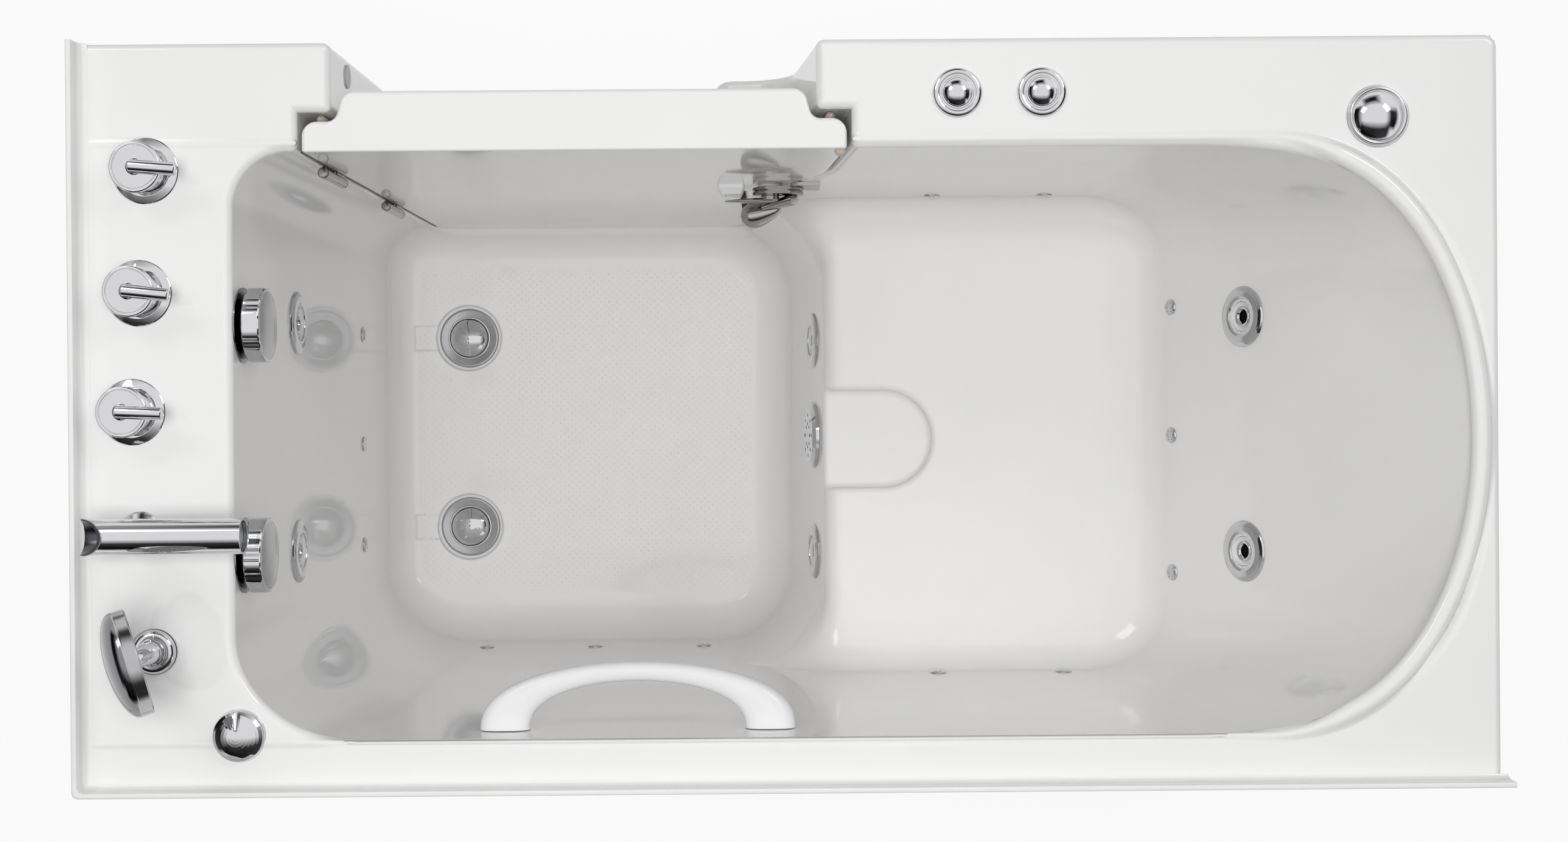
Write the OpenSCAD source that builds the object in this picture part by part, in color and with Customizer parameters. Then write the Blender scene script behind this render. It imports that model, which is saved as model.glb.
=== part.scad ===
// Walk-in bathtub with an inward-swinging door, a moulded seat, water jets and air jets.
// Millimetres, +Z up. The origin is on the floor, under the middle of the tub.
// +X is the foot end with the taps, -X the seat end, -Y the door side, +Y the wall side.

/* [Overall size] */
// Length from the seat end to the foot end
tub_length = 1524; // [1480:2:1600]
// Width from the door side to the wall side
tub_width = 800; // [780:2:840]
// Height of the deck above the floor
deck_z = 965; // [945:1:1000]
// Height of the tile flange above the deck
flange_h = 25; // [12:1:40]
// Thickness of the acrylic shell and of the panels
wall = 6; // [4:0.5:7]
// Height of the lip that is turned down round the deck
lip_h = 50; // [30:1:70]
// How far the tile flange runs past the deck at the seat end
flange_past = 6; // [2:1:10]

/* [Basin] */
// Width of the deck at the foot end
deck_foot_w = 166; // [150:1:185]
// Width of the deck on the door side
deck_front_w = 116; // [108:1:122]
// Width of the deck on the wall side
deck_back_w = 55; // [50:1:66]
// Width of the deck at the seat end
deck_head_w = 22; // [18:1:40]
// Height of the foot well's floor
floor_z = 65; // [60:1:80]
// Height of the seat
seat_z = 432; // [415:1:450]
// Length of the foot well at the seat's height
well_length = 646; // [636:1:660]
// Depth of the seat, from its front edge to the backrest
seat_depth = 417; // [390:1:440]
// How far the seat's front wall leans back on its way up
seat_front_lean = 45; // [30:1:50]
// How far the wall-side wall leans out on its way up
back_wall_lean = 11; // [0:1:20]
// Radius between the seat and its walls
seat_fillet = 45; // [30:1:50]
// Height of the rounding between the floor and its walls
floor_fillet_h = 65; // [40:1:80]
// Height of the headrest roll above the deck
roll_h = 9; // [5:0.5:14]
// Width of the hand hollow in the seat's front edge
hollow_w = 131; // [100:1:150]
// Length of the hand hollow in the seat
hollow_l = 141; // [110:1:160]
// Depth of the hand hollow in the seat
hollow_depth = 22; // [10:1:30]

/* [Door] */
// Width of the doorway at the deck
doorway_w = 520; // [508:1:526]
// How far the doorway's hinge side lies in from the basin's foot wall
doorway_in = 106; // [104:1:114]
// Height of the threshold above the floor
threshold_z = 134; // [125:1:150]
// How far the doorway narrows below its curved shelf
shelf_w = 118; // [100:1:126]
// Height of the curved shelf
shelf_z = 706; // [690:1:720]
// How much further the inner recess reaches than the doorway
recess_step = 36; // [34:1:40]
// How far the inner recess narrows below its shelf, from the doorway's edge at the deck
recess_low_w = 86; // [82:1:88]
// Gap between the door's flange and the recess
door_gap = 5.5; // [5:0.5:6]
// Thickness of the door's flange
door_flange_t = 33; // [30:1:36]
// Total thickness of the door
door_t = 65; // [60:1:70]
// Diameter of the door gasket
gasket_d = 9.4; // [8:0.2:11]
// Thickness of each acrylic skin of the door
door_skin = 4; // [3:0.5:5]
// Outer diameter of the hinge barrels
hinge_d = 12; // [11:0.5:13]
// Length of one hinge barrel
hinge_length = 96; // [80:1:110]
// Heights of the middles of the two hinges
hinge_z = [446, 800];
// Thickness of the hinge leaves
leaf_t = 2; // [1.5:0.1:2.2]
// Diameter of the latch cam
latch_d = 64; // [58:1:68]
// Height of the latch
latch_z = 625; // [600:1:640]

/* [Taps] */
// Diameter of the tap handles' base flanges
tap_base_d = 71; // [60:1:76]
// Diameter of the tap handles
tap_knob_d = 54; // [46:1:58]
// Height of the tap handles above the deck
tap_knob_h = 38; // [30:1:46]
// Diameter of the levers on the tap handles
tap_lever_d = 14; // [10:1:16]
// Length of the levers on the tap handles
tap_lever_l = 49; // [44:1:56]
// Diameter of the spout tube
spout_d = 37; // [32:1:42]
// Length of the spout tube
spout_length = 170; // [160:1:180]
// Height of the spout tube's middle above the deck
spout_rise = 75; // [60:1:85]
// Diameter of the hand shower's head
shower_d = 111; // [100:1:120]
// Height of the hand shower head's middle above the deck
shower_rise = 100; // [95:1:115]
// Diameter of the hand shower's handle
shower_handle_d = 24; // [20:1:26]

/* [Jets and drains] */
// Diameter of the water jets' chrome rings
jet_ring_d = 76; // [70:1:80]
// Diameter of the water jets' swivelling balls
jet_ball_d = 40; // [34:1:42]
// Diameter of the air jets' caps
air_cap_d = 21; // [18:1:24]
// Diameter of the suction cover
suction_d = 93; // [86:1:100]
// Diameter of the drains' recesses in the floor
drain_recess_d = 99; // [96:1:106]
// Depth of the drains' recesses
drain_recess_depth = 8; // [5:1:10]
// Diameter of the drains' chrome rings
drain_ring_d = 90; // [84:1:92]
// Diameter of the drain plugs' domes
drain_dome_d = 56; // [54:1:60]
// Travel of the drain plugs
plug_lift = 10; // [8:1:12]
// Diameter of the overflow knobs
overflow_d = 82; // [74:1:88]
// Outer diameter of the waste pipe
waste_d = 38.1; // [32:0.1:38.1]

/* [Frame] */
// Side of the square frame tubes
tube_s = 25; // [20:1:25]
// Wall of the square frame tubes
tube_wall = 2; // [1.5:0.5:3]
// Diameter of the levelling feet
foot_d = 36; // [28:1:37]
// Thickness of the levelling feet's pads
foot_pad_t = 10; // [8:1:14]

/* [Hidden] */

$fn = 48;
eps = 0.01;          // overlap of joined or cut solids
seat_gap = 0.3;      // clearance of a piece that rests on a curved seat
run_gap = 0.05;      // radial clearance of a shaft in its bore

// Colours, as the photograph shows them
white = [0.93, 0.93, 0.94];
chrome = [0.72, 0.73, 0.75];
steel = [0.62, 0.62, 0.62];
plastic = [0.80, 0.80, 0.80];
dark = [0.18, 0.18, 0.19];
rubber = [0.80, 0.72, 0.66];

// Outer limits
x_min = -tub_length / 2;
x_max = tub_length / 2;
y_min = -tub_width / 2;
y_max = tub_width / 2;
deck_x0 = x_min + flange_past;
under_deck = deck_z - wall;
lip_bottom = deck_z - lip_h;

// Basin
basin_x0 = x_min + deck_head_w;
basin_x1 = x_max - deck_foot_w;
basin_y0 = y_min + deck_front_w;
basin_y1 = y_max - deck_back_w;
basin_mid_y = (basin_y0 + basin_y1) / 2;
seat_front_x = basin_x1 - well_length;
backrest_foot_x = seat_front_x - seat_depth;
head_a = 333;        // half length of the rounded seat end at the deck
head_n = 2.8;        // squareness of the rounded seat end at the deck
seat_corner_r = 90;  // corner radius of the seat end at the seat
foot_front_r = 60;
foot_back_rx = 133;
foot_back_ry = 113;
well_corner_r = 110;
ring_steps = 9;      // points on each corner of a level
fillet_steps = 4;

// How far the floor's rounding reaches in from the seat, foot, door and wall sides
floor_fillet = [55, 35, 54, 68];
well_top_z = seat_z + seat_fillet + 1;
floor_edge_z = floor_z + floor_fillet_h;

function mix(a, b, t) = a + (b - a) * t;
function seat_wall_x(z) = seat_front_x + seat_front_lean * (seat_z - z) / (seat_z - floor_edge_z);
function back_wall_y(z) = basin_y1 - back_wall_lean * (deck_z - z) / (deck_z - floor_edge_z);
function rest_share(z) = (z - seat_z) / (deck_z - seat_z);
function backrest_x(z) = mix(backrest_foot_x, basin_x0, rest_share(z));

// One corner of a level, as a superellipse from the X side to the Y side
function corner(cx, cy, sx, sy, rx, ry, n, back) =
    [for (i = [0:ring_steps])
        let (a = 90 * (back ? ring_steps - i : i) / ring_steps)
        [cx + sx * rx * pow(max(cos(a), 0), 2 / n), cy + sy * ry * pow(max(sin(a), 0), 2 / n)]];

// One closed level of a lofted solid; each corner is [length along X, length along Y, squareness]
function level(x0, x1, y0, y1, z, foot_back, seat_back, seat_front, foot_front) =
    [for (p = concat(
        corner(x1 - foot_back[0], y1 - foot_back[1], 1, 1,
               foot_back[0], foot_back[1], foot_back[2], false),
        corner(x0 + seat_back[0], y1 - seat_back[1], -1, 1,
               seat_back[0], seat_back[1], seat_back[2], true),
        corner(x0 + seat_front[0], y0 + seat_front[1], -1, -1,
               seat_front[0], seat_front[1], seat_front[2], false),
        corner(x1 - foot_front[0], y0 + foot_front[1], 1, -1,
               foot_front[0], foot_front[1], foot_front[2], true)))
        [p[0], p[1], z]];

// Level of the foot well at height z, grown by g and drawn in by the share s of the rounding
function well_level(z, g, s) =
    let (f = [for (side = floor_fillet) (side + g) * s],
         r = function(inset_a, inset_b) max(well_corner_r + g - max(inset_a, inset_b), 25))
    level(seat_wall_x(z) - g + f[0], basin_x1 + g - f[1],
          basin_y0 - g + f[2], back_wall_y(z) + g - f[3], z,
          [r(f[1], f[3]), r(f[1], f[3]), 2], [r(f[0], f[3]), r(f[0], f[3]), 2],
          [r(f[0], f[2]), r(f[0], f[2]), 2], [foot_front_r + g, foot_front_r + g, 2]);

// Level of the bathing space above the seat, grown by g and drawn in by the length d
function bath_level(z, g, d) =
    let (t = max(rest_share(z), 0),
         a = mix(seat_corner_r, head_a, t) + g - d * 0.5,
         half_y = (basin_y1 - basin_y0) / 2 + g - d,
         b = mix(seat_corner_r, half_y, min(t * t, 1)) - 1,
         n = mix(2, head_n, t))
    level(backrest_x(z) - g + d, basin_x1 + g - d,
          basin_y0 - g + d, back_wall_y(z) + g - d, z,
          [foot_back_rx + g, foot_back_ry + g, 2], [a, b, n], [a, b, n],
          [foot_front_r + g, foot_front_r + g, 2]);

function flatten(lists) = [for (l = lists) for (p = l) p];

module loft(levels) {
    n = len(levels[0]);
    last = (len(levels) - 1) * n;
    polyhedron(
        points = flatten(levels),
        faces = concat(
            [[for (i = [0:n - 1]) i]],
            [for (k = [0:len(levels) - 2]) for (i = [0:n - 1])
                [k * n + i, (k + 1) * n + i, (k + 1) * n + (i + 1) % n, k * n + (i + 1) % n]],
            [[for (i = [n - 1:-1:0]) last + i]]));
}

// The foot well as a solid, grown by g
module well_solid(g) {
    loft(concat(
        [for (i = [0:fillet_steps])
            let (a = 90 * i / fillet_steps)
            well_level(floor_z - g + (floor_fillet_h + g) * (1 - cos(a)), g, 1 - sin(a))],
        [well_level(well_top_z, g, 0)]));
}

// The bathing space above the seat as a solid, grown by g, up to the height top
module bath_solid(g, top) {
    loft(concat(
        [for (i = [0:fillet_steps])
            let (a = 90 * i / fillet_steps)
            bath_level(seat_z - g + (seat_fillet + g) * (1 - cos(a)), g,
                       (seat_fillet + g) * (1 - sin(a)))],
        [for (t = [0.25, 0.5, 0.75, 1]) bath_level(mix(seat_z, deck_z, t), g, 0)],
        top > deck_z ? [bath_level(top, g, 0)] : []));
}

// Doorway outline in the XZ plane
doorway_x1 = basin_x1 - doorway_in;
doorway_x0 = doorway_x1 - doorway_w;
recess_low_x = doorway_x0 + recess_low_w;
bezier_steps = 6;
function bezier(a, b, c, d) =
    [for (i = [0:bezier_steps])
        let (t = i / bezier_steps, u = 1 - t)
        u * u * u * a + 3 * u * u * t * b + 3 * u * t * t * c + t * t * t * d];
function arc(cx, cz, r, a0, a1) =
    [for (i = [0:bezier_steps]) let (a = mix(a0, a1, i / bezier_steps)) [cx + r * cos(a), cz + r * sin(a)]];
doorway_r = 40;      // corner radius at the threshold
shelf_x1 = doorway_x0 + shelf_w;
// The left edge of an outline, which is upright above the deck
function left_edge(x, top) = top > deck_z ? [[x, top], [x, deck_z]] : [[x, top]];
// Outline of the doorway, shrunk by g, up to the height top
function doorway(g, top) =
    [for (p = concat(
        left_edge(doorway_x0 + g, top),
        bezier([doorway_x0 + 22, shelf_z + 74], [doorway_x0 + 28, shelf_z + 16],
               [doorway_x0 + 60, shelf_z], [doorway_x0 + 88, shelf_z]) + shift(g),
        bezier([doorway_x0 + 92, shelf_z], [doorway_x0 + 110, shelf_z],
               [shelf_x1, shelf_z - 16], [shelf_x1, shelf_z - 51]) + shift(g),
        arc(shelf_x1 + doorway_r, threshold_z + doorway_r, doorway_r - g, 180, 270),
        arc(doorway_x1 - doorway_r, threshold_z + doorway_r, doorway_r - g, 270, 360),
        [[doorway_x1 - g, top]])) p];
// A shift by g to the right and up, for all the points of one curve
function shift(g) = [for (i = [0:bezier_steps]) [g, g]];

// Inner recess, which holds the door's flange
recess_x0 = doorway_x0 - recess_step - 1;
recess_x1 = doorway_x1 + recess_step;
recess_z0 = threshold_z - recess_step;
function recess(g, top) =
    [for (p = concat(
        left_edge(recess_x0 + g, top),
        bezier([recess_x0 + 17, shelf_z + 54], [recess_x0 + 24, shelf_z - 1],
               [recess_x0 + 51, shelf_z - 16], [recess_x0 + 59, shelf_z - 66]) + shift_x(g),
        bezier([recess_x0 + 59, shelf_z - 96], [recess_x0 + 59, shelf_z - 124],
               [recess_low_x, shelf_z - 112], [recess_low_x, shelf_z - 162]) + shift(g),
        arc(recess_low_x + doorway_r, recess_z0 + doorway_r, doorway_r - g, 180, 270),
        arc(recess_x1 - doorway_r, recess_z0 + doorway_r, doorway_r - g, 270, 360),
        [[recess_x1 - g, top]])) p];
function shift_x(g) = [for (i = [0:bezier_steps]) [g, 0]];

// An outline in XZ, made solid from y0 to y1
module across(y0, y1, outline) {
    translate([0, y1, 0]) rotate([90, 0, 0]) linear_extrude(height = y1 - y0) polygon(outline);
}

module box(x0, x1, y0, y1, z0, z1) {
    translate([x0, y0, z0]) cube([x1 - x0, y1 - y0, z1 - z0]);
}

// Cylinders along one axis, between two coordinates
module along_x(x0, x1, y, z, r) { translate([x0, y, z]) rotate([0, 90, 0]) cylinder(h = x1 - x0, r = r); }
module along_y(x, y0, y1, z, r) { translate([x, y1, z]) rotate([90, 0, 0]) cylinder(h = y1 - y0, r = r); }
module along_z(x, y, z0, z1, r) { translate([x, y, z0]) cylinder(h = z1 - z0, r = r); }

// A straight pipe between two points
module pipe(a, b, r) {
    d = b - a;
    l = norm(d);
    translate(a) rotate([0, acos(d[2] / l), atan2(d[1], d[0])]) cylinder(h = l, r = r);
}
// A pipe along a list of points, with a round elbow at each bend
module pipe_run(points, r) {
    for (i = [0:len(points) - 2]) pipe(points[i], points[i + 1], r);
    for (i = [1:1:len(points) - 2]) translate(points[i]) sphere(r = r + elbow_wall);
}
elbow_wall = 2;
// A round tee where a pipe ends on another one
module tee(p, r) translate(p) sphere(r = r + elbow_wall);

// Depths of the doorway, from the outside in
door_y1 = basin_y0 + 1;                     // inner face of the door
door_y0 = door_y1 - door_t;                 // outer face of the door
flange_y0 = door_y1 - door_flange_t;        // outer face of the door's flange
shoulder_y = flange_y0 - gasket_d - 2 * seat_gap;
recess_ring_w = 22;                         // width of the flat rim round the doorway
swing_y = basin_y0 + 22;                    // the recess is cut this far in, for the door's swing

// Deck fittings, measured in from the tub's edges
tap_x = [x_max - 76, x_max - 68, x_max - 60];
tap_y = [y_min + 136, y_min + 266, y_min + 392.5];
spout_x = x_max - 68;
spout_y = y_max - 279;
holder_x = x_max - 83.5;
holder_y = y_max - 153;
button_x = [seat_front_x - 129, seat_front_x - 219];
button_y = y_min + 59;
cap_x = x_min + 135;
cap_y = y_min + 87;
air_control_x = x_max - 171;
air_control_y = y_max - 62;

// Jets: [position on the wall, turn about Z, tilt from the vertical]
overflow_pos = [[basin_x1, basin_y0 + 183, deck_z - 46], [basin_x1, basin_y1 - 196, deck_z - 46]];
drain_pos = [[basin_x1 - 111.5, basin_y0 + 164], [basin_x1 - 111.5, basin_y1 - 178]];
foot_jet_z = 677;
seat_jet_z = 330;
rest_jet_z = 620;
rest_lean = atan2(backrest_foot_x - basin_x0, deck_z - seat_z);
seat_lean = atan2(seat_front_lean, seat_z - floor_edge_z);
foot_jets = [[basin_x1, basin_y0 + 169, foot_jet_z], [basin_x1, basin_y1 - 184, foot_jet_z]];
seat_jets = [[seat_wall_x(seat_jet_z), basin_y0 + 182, seat_jet_z],
             [seat_wall_x(seat_jet_z), basin_y1 - 155, seat_jet_z]];
rest_jets = [[backrest_x(rest_jet_z), basin_y0 + 167, rest_jet_z],
             [backrest_x(rest_jet_z), basin_y1 - 171, rest_jet_z]];
suction_pos = [seat_wall_x(seat_jet_z), basin_y0 + 313, seat_jet_z];
foot_air_z = 300;
well_air_z = 200;
seat_air_z = seat_z + seat_fillet + 14;
foot_air = [for (y = [basin_y0 + 168, basin_mid_y + 6.5, basin_y1 - 167])
    [basin_x1, y, foot_air_z]];
well_air = [for (d = [156, 313, 471]) [basin_x1 - d, back_wall_y(well_air_z), well_air_z]];
seat_back_air = [for (d = [142, 306]) [seat_front_x - d, back_wall_y(seat_air_z), seat_air_z]];
seat_front_air = [for (d = [138, 285]) [seat_front_x - d, basin_y0, seat_air_z]];
rest_air_z = seat_z + 62;
rest_air = [for (y = [basin_y0 + 148, basin_mid_y + 0.5, basin_y1 - 135])
    [backrest_x(rest_air_z), y, rest_air_z]];

// Places what is drawn along +Z on a wall: facing the seat, the foot, the door side or the wall side
module facing_seat(p) { translate(p) rotate([0, -90, 0]) children(); }
module facing_foot(p, lean) { translate(p) rotate([0, 90 - lean, 0]) children(); }
module facing_door(p) { translate(p) rotate([90, 0, 0]) children(); }
module facing_wall(p) { translate(p) rotate([-90, 0, 0]) children(); }

module at_water_jets() {
    for (p = foot_jets) facing_seat(p) children();
    for (p = seat_jets) facing_foot(p, seat_lean) children();
    for (p = rest_jets) facing_foot(p, rest_lean) children();
}
module at_air_jets() {
    for (p = foot_air) facing_seat(p) children();
    for (p = well_air) facing_door(p) children();
    for (p = seat_back_air) facing_door(p) children();
    for (p = seat_front_air) facing_wall(p) children();
    for (p = rest_air) facing_foot(p, rest_lean) children();
}

// Fittings' bodies and the holes they go through
jet_body_r = jet_ring_d / 2 - 9;
jet_body_l = 40;
body_end = jet_body_l + 0.3;    // where the pipes behind the jets start
air_body_r = air_cap_d / 2 - 3.5;
hole_gap = 0.4;      // clearance of a fitting in its hole in the shell
tap_stem_r = 14;
spout_stem_r = 10;
holder_sleeve_r = shower_handle_d / 2 + 3;
button_body_r = 16;
cap_body_r = 20;
air_control_body_r = 18;
overflow_body_r = 24;
drain_body_r = 30;
suction_body_r = 24;
drain_floor_z = floor_z - drain_recess_depth;

module cut_hole(r) { translate([0, 0, -4 * wall]) cylinder(h = 5 * wall, r = r + hole_gap, $fn = 32); }
module deck_hole(x, y, r) { translate([x, y, deck_z]) cut_hole(r); }

module shell_holes() {
    for (i = [0:2]) deck_hole(tap_x[i], tap_y[i], tap_stem_r);
    deck_hole(spout_x, spout_y, spout_stem_r);
    deck_hole(holder_x, holder_y, holder_sleeve_r);
    for (x = button_x) deck_hole(x, button_y, button_body_r);
    deck_hole(cap_x, cap_y, cap_body_r);
    deck_hole(air_control_x, air_control_y, air_control_body_r);
    at_water_jets() cut_hole(jet_body_r);
    at_air_jets() cut_hole(air_body_r, $fn = 24);
    facing_foot(suction_pos, seat_lean) cut_hole(suction_body_r);
    for (p = overflow_pos) facing_seat(p) cut_hole(overflow_body_r);
    for (p = drain_pos) translate([p[0], p[1], drain_floor_z]) cut_hole(drain_body_r);
}

// Half of a rounded crescent round the seat end: the headrest roll
roll_x = basin_x0 + 214;       // where the roll starts on both sides
roll_past = 8;       // deck left between the roll and the seat end
roll_n = 2.45;
module roll_outline() {
    a = roll_x - deck_x0 - roll_past;
    b = (basin_y1 - basin_y0) / 2 + 4;
    polygon([for (i = [-24:24])
        let (t = i * 90 / 24)
        [roll_x - a * pow(cos(t), 2 / roll_n),
         basin_mid_y + (t < 0 ? -1 : 1) * b * pow(abs(sin(t)), 2 / roll_n)]]);
}

hollow_r = hollow_w / 2;
hollow_y = basin_mid_y + 3;
module hand_hollow(g) {
    x0 = seat_front_x - hollow_l + hollow_r;
    translate([0, 0, seat_z - hollow_depth - g]) {
        translate([x0, hollow_y, 0]) cylinder(h = hollow_depth + g + 1, r = hollow_r + g, $fn = 40);
        translate([x0, hollow_y - hollow_r - g, 0])
            cube([seat_front_x - x0 + 40, hollow_w + 2 * g, hollow_depth + g + 1]);
    }
}

channel_w = 36;
channel_depth = 3;
module tub_shell() color(white) difference() {
    union() {
        difference() {
            union() {
                // deck, tile flanges and turned-down lips
                box(deck_x0, x_max, y_min, y_max, under_deck, deck_z);
                box(x_min, x_max, y_max - wall, y_max, under_deck, deck_z + flange_h);
                box(x_max - wall, x_max, y_min, y_max, under_deck, deck_z + flange_h);
                box(deck_x0, x_max, y_min, y_min + wall, lip_bottom, deck_z);
                box(deck_x0, deck_x0 + wall, y_min, y_max, lip_bottom, deck_z);
                translate([0, 0, deck_z - eps]) linear_extrude(height = roll_h) roll_outline();
                bath_solid(wall, deck_z - eps);
                well_solid(wall);
                for (p = drain_pos)
                    translate([p[0], p[1], drain_floor_z - wall])
                        cylinder(h = 2 * wall, r = drain_recess_d / 2 + wall, $fn = 48);
            }
            bath_solid(0, deck_z + roll_h + 2);
        }
        // seat's hollow, door frame and its rim
        difference() {
            hand_hollow(wall);
            hand_hollow_trim();
        }
        difference() {
            union() {
                across(shoulder_y - wall, basin_y0 + eps, recess(-wall, deck_z));
                intersection() {
                    across(basin_y0 - 1, swing_y, recess(-wall, deck_z));
                    box(x_min, x_max, y_min, swing_y + 1, 0, seat_z - 2);
                }
                across(y_min, shoulder_y, doorway(-wall, deck_z));
                across(y_min, y_min + wall, doorway(-recess_ring_w, deck_z));
            }
        }
    }
    well_solid(0);
    hand_hollow(0);
    across(shoulder_y, swing_y, recess(0, deck_z + 40));
    across(y_min - 1, shoulder_y + eps, doorway(0, deck_z + 40));
    for (p = drain_pos) {
        translate([p[0], p[1], drain_floor_z]) cylinder(h = wall + 20, r = drain_recess_d / 2);
        box(p[0], basin_x1 - floor_fillet[1], p[1] - channel_w / 2, p[1] + channel_w / 2,
            floor_z - channel_depth, floor_z + 20);
    }
    shell_holes();
}
// Keeps the hollow's outer skin inside the seat's underside
module hand_hollow_trim() {
    box(seat_front_x - hollow_l, basin_x1, y_min, y_max, seat_z - eps, deck_z);
    box(seat_wall_x(seat_z - hollow_depth) + wall, basin_x1, y_min, y_max, 0, seat_z);
}

// Square tube with open ends
module square_tube(x0, x1, y0, y1, z0, z1) {
    long_x = x1 - x0 > tube_s + eps;
    long_y = y1 - y0 > tube_s + eps;
    long_z = z1 - z0 > tube_s + eps;
    difference() {
        box(x0, x1, y0, y1, z0, z1);
        box(x0 + (long_x ? -1 : tube_wall), x1 + (long_x ? 1 : -tube_wall),
            y0 + (long_y ? -1 : tube_wall), y1 + (long_y ? 1 : -tube_wall),
            z0 + (long_z ? -1 : tube_wall), z1 + (long_z ? 1 : -tube_wall));
    }
}
rail_z1 = floor_z - wall;
rail_z0 = rail_z1 - tube_s;
rail_y0 = y_min + wall;              // front faces of the front rail and posts
rail_y1 = y_max - wall;              // back faces of the back rail and posts
frame_x0 = deck_x0 + wall;
frame_x1 = x_max - wall;
cross_x = [x_min + 62, x_min + 462, seat_front_x + 110, basin_x1 - 196];
weld_gap = 0.2;
front_post_x = [frame_x0, seat_front_x - 82, recess_x1 + wall + 1, frame_x1 - tube_s];
back_post_x = [frame_x0, frame_x1 - tube_s];
module support_frame() color(steel) {
    square_tube(frame_x0, frame_x1, rail_y0, rail_y0 + tube_s, rail_z0, rail_z1);
    square_tube(frame_x0, frame_x1, rail_y1 - tube_s, rail_y1, rail_z0, rail_z1);
    for (x = cross_x)
        square_tube(x - tube_s / 2, x + tube_s / 2, rail_y0 + tube_s + weld_gap,
                    rail_y1 - tube_s - weld_gap, rail_z0, rail_z1);
    for (x = front_post_x)
        square_tube(x, x + tube_s, rail_y0, rail_y0 + tube_s, rail_z1 + weld_gap, under_deck);
    for (x = back_post_x)
        square_tube(x, x + tube_s, rail_y1 - tube_s, rail_y1, rail_z1 + weld_gap, under_deck);
    square_tube(frame_x0 + tube_s + weld_gap, frame_x1 - tube_s - weld_gap, rail_y1 - tube_s, rail_y1,
                under_deck - tube_s, under_deck);
}

board_t = 6;
board_z1 = rail_z1 + board_t;
board_x1 = seat_front_x + seat_front_lean - 80;
module equipment_board() color([0.45, 0.36, 0.26])
    box(frame_x0 + tube_s + 1, board_x1, rail_y0 + tube_s + 1, rail_y1 - tube_s - 1,
        rail_z1, board_z1);

foot_stem_d = 12;
foot_nut_d = 21;
foot_nut_t = 8;
foot_x = concat(cross_x, [x_max - 62]);
module leveling_foot() {
    rotate_extrude() polygon([
        [0, 0], [foot_d / 2 - 2, 0], [foot_d / 2, 2], [foot_d / 2, foot_pad_t - 4],
        [foot_stem_d / 2 + 3, foot_pad_t], [foot_stem_d / 2, foot_pad_t],
        [foot_stem_d / 2, rail_z0], [0, rail_z0]]);
    translate([0, 0, rail_z0 - foot_nut_t]) cylinder(h = foot_nut_t, d = foot_nut_d, $fn = 6);
}
module leveling_feet() color(dark)
    for (x = foot_x) for (y = [rail_y0 + tube_s / 2, rail_y1 - tube_s / 2])
        translate([x, y, 0]) leveling_foot();

// Removable panels under the deck's lip
panel_z0 = rail_z0 - 4;
panel_z1 = lip_bottom - 3;
panel_split_x = front_post_x[1] + tube_s / 2;
split_gap = 1;
screw_head_r = 5;
screw_shank_r = 2.5;
screw_head_t = 3;
screw_z = [(rail_z0 + rail_z1) / 2, (panel_z0 + panel_z1) / 2, panel_z1 - 20];
front_screw_x = [frame_x0 + tube_s / 2, front_post_x[1] + 5];
surround_screw_x = [front_post_x[1] + tube_s - 5, front_post_x[2] + tube_s / 2,
                    frame_x1 - tube_s / 2];
end_screw_y = [rail_y0 + tube_s / 2, rail_y1 - tube_s / 2];
module screw_hole() {
    translate([0, 0, -wall - 1]) cylinder(h = wall + 2, r = screw_shank_r + seat_gap);
    translate([0, 0, -screw_head_t]) cylinder(h = screw_head_t + 1, r = screw_head_r + seat_gap);
}
module at_front_screws(xs) {
    for (x = xs) for (z = screw_z) facing_door([x, y_min, z]) children();
}
module at_end_screws() {
    for (y = end_screw_y) for (z = screw_z) facing_seat([deck_x0, y, z]) children();
}
module apron_panels() color(white) {
    difference() {
        box(deck_x0, panel_split_x - split_gap / 2, y_min, y_min + wall, panel_z0, panel_z1);
        at_front_screws(front_screw_x) screw_hole();
    }
    difference() {
        box(deck_x0, deck_x0 + wall, y_min + wall + weld_gap, y_max - wall, panel_z0, panel_z1);
        at_end_screws() screw_hole();
    }
}
module door_surround_panel() color(white) difference() {
    box(panel_split_x + split_gap / 2, x_max, y_min, y_min + wall, panel_z0, panel_z1);
    across(y_min - 1, y_min + wall + 1, doorway(-recess_ring_w - 2, deck_z));
    at_front_screws(surround_screw_x) screw_hole();
}
module screw() {
    translate([0, 0, -wall]) cylinder(h = wall - screw_head_t / 2, r = screw_shank_r);
    difference() {
        translate([0, 0, -screw_head_t]) cylinder(h = screw_head_t, r = screw_head_r);
        translate([-screw_head_r + 1, -0.6, -1]) cube([2 * screw_head_r - 2, 1.2, 2]);
    }
}
module panel_screws() color(steel) {
    at_front_screws(front_screw_x) screw();
    at_front_screws(surround_screw_x) screw();
    at_end_screws() screw();
}

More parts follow.
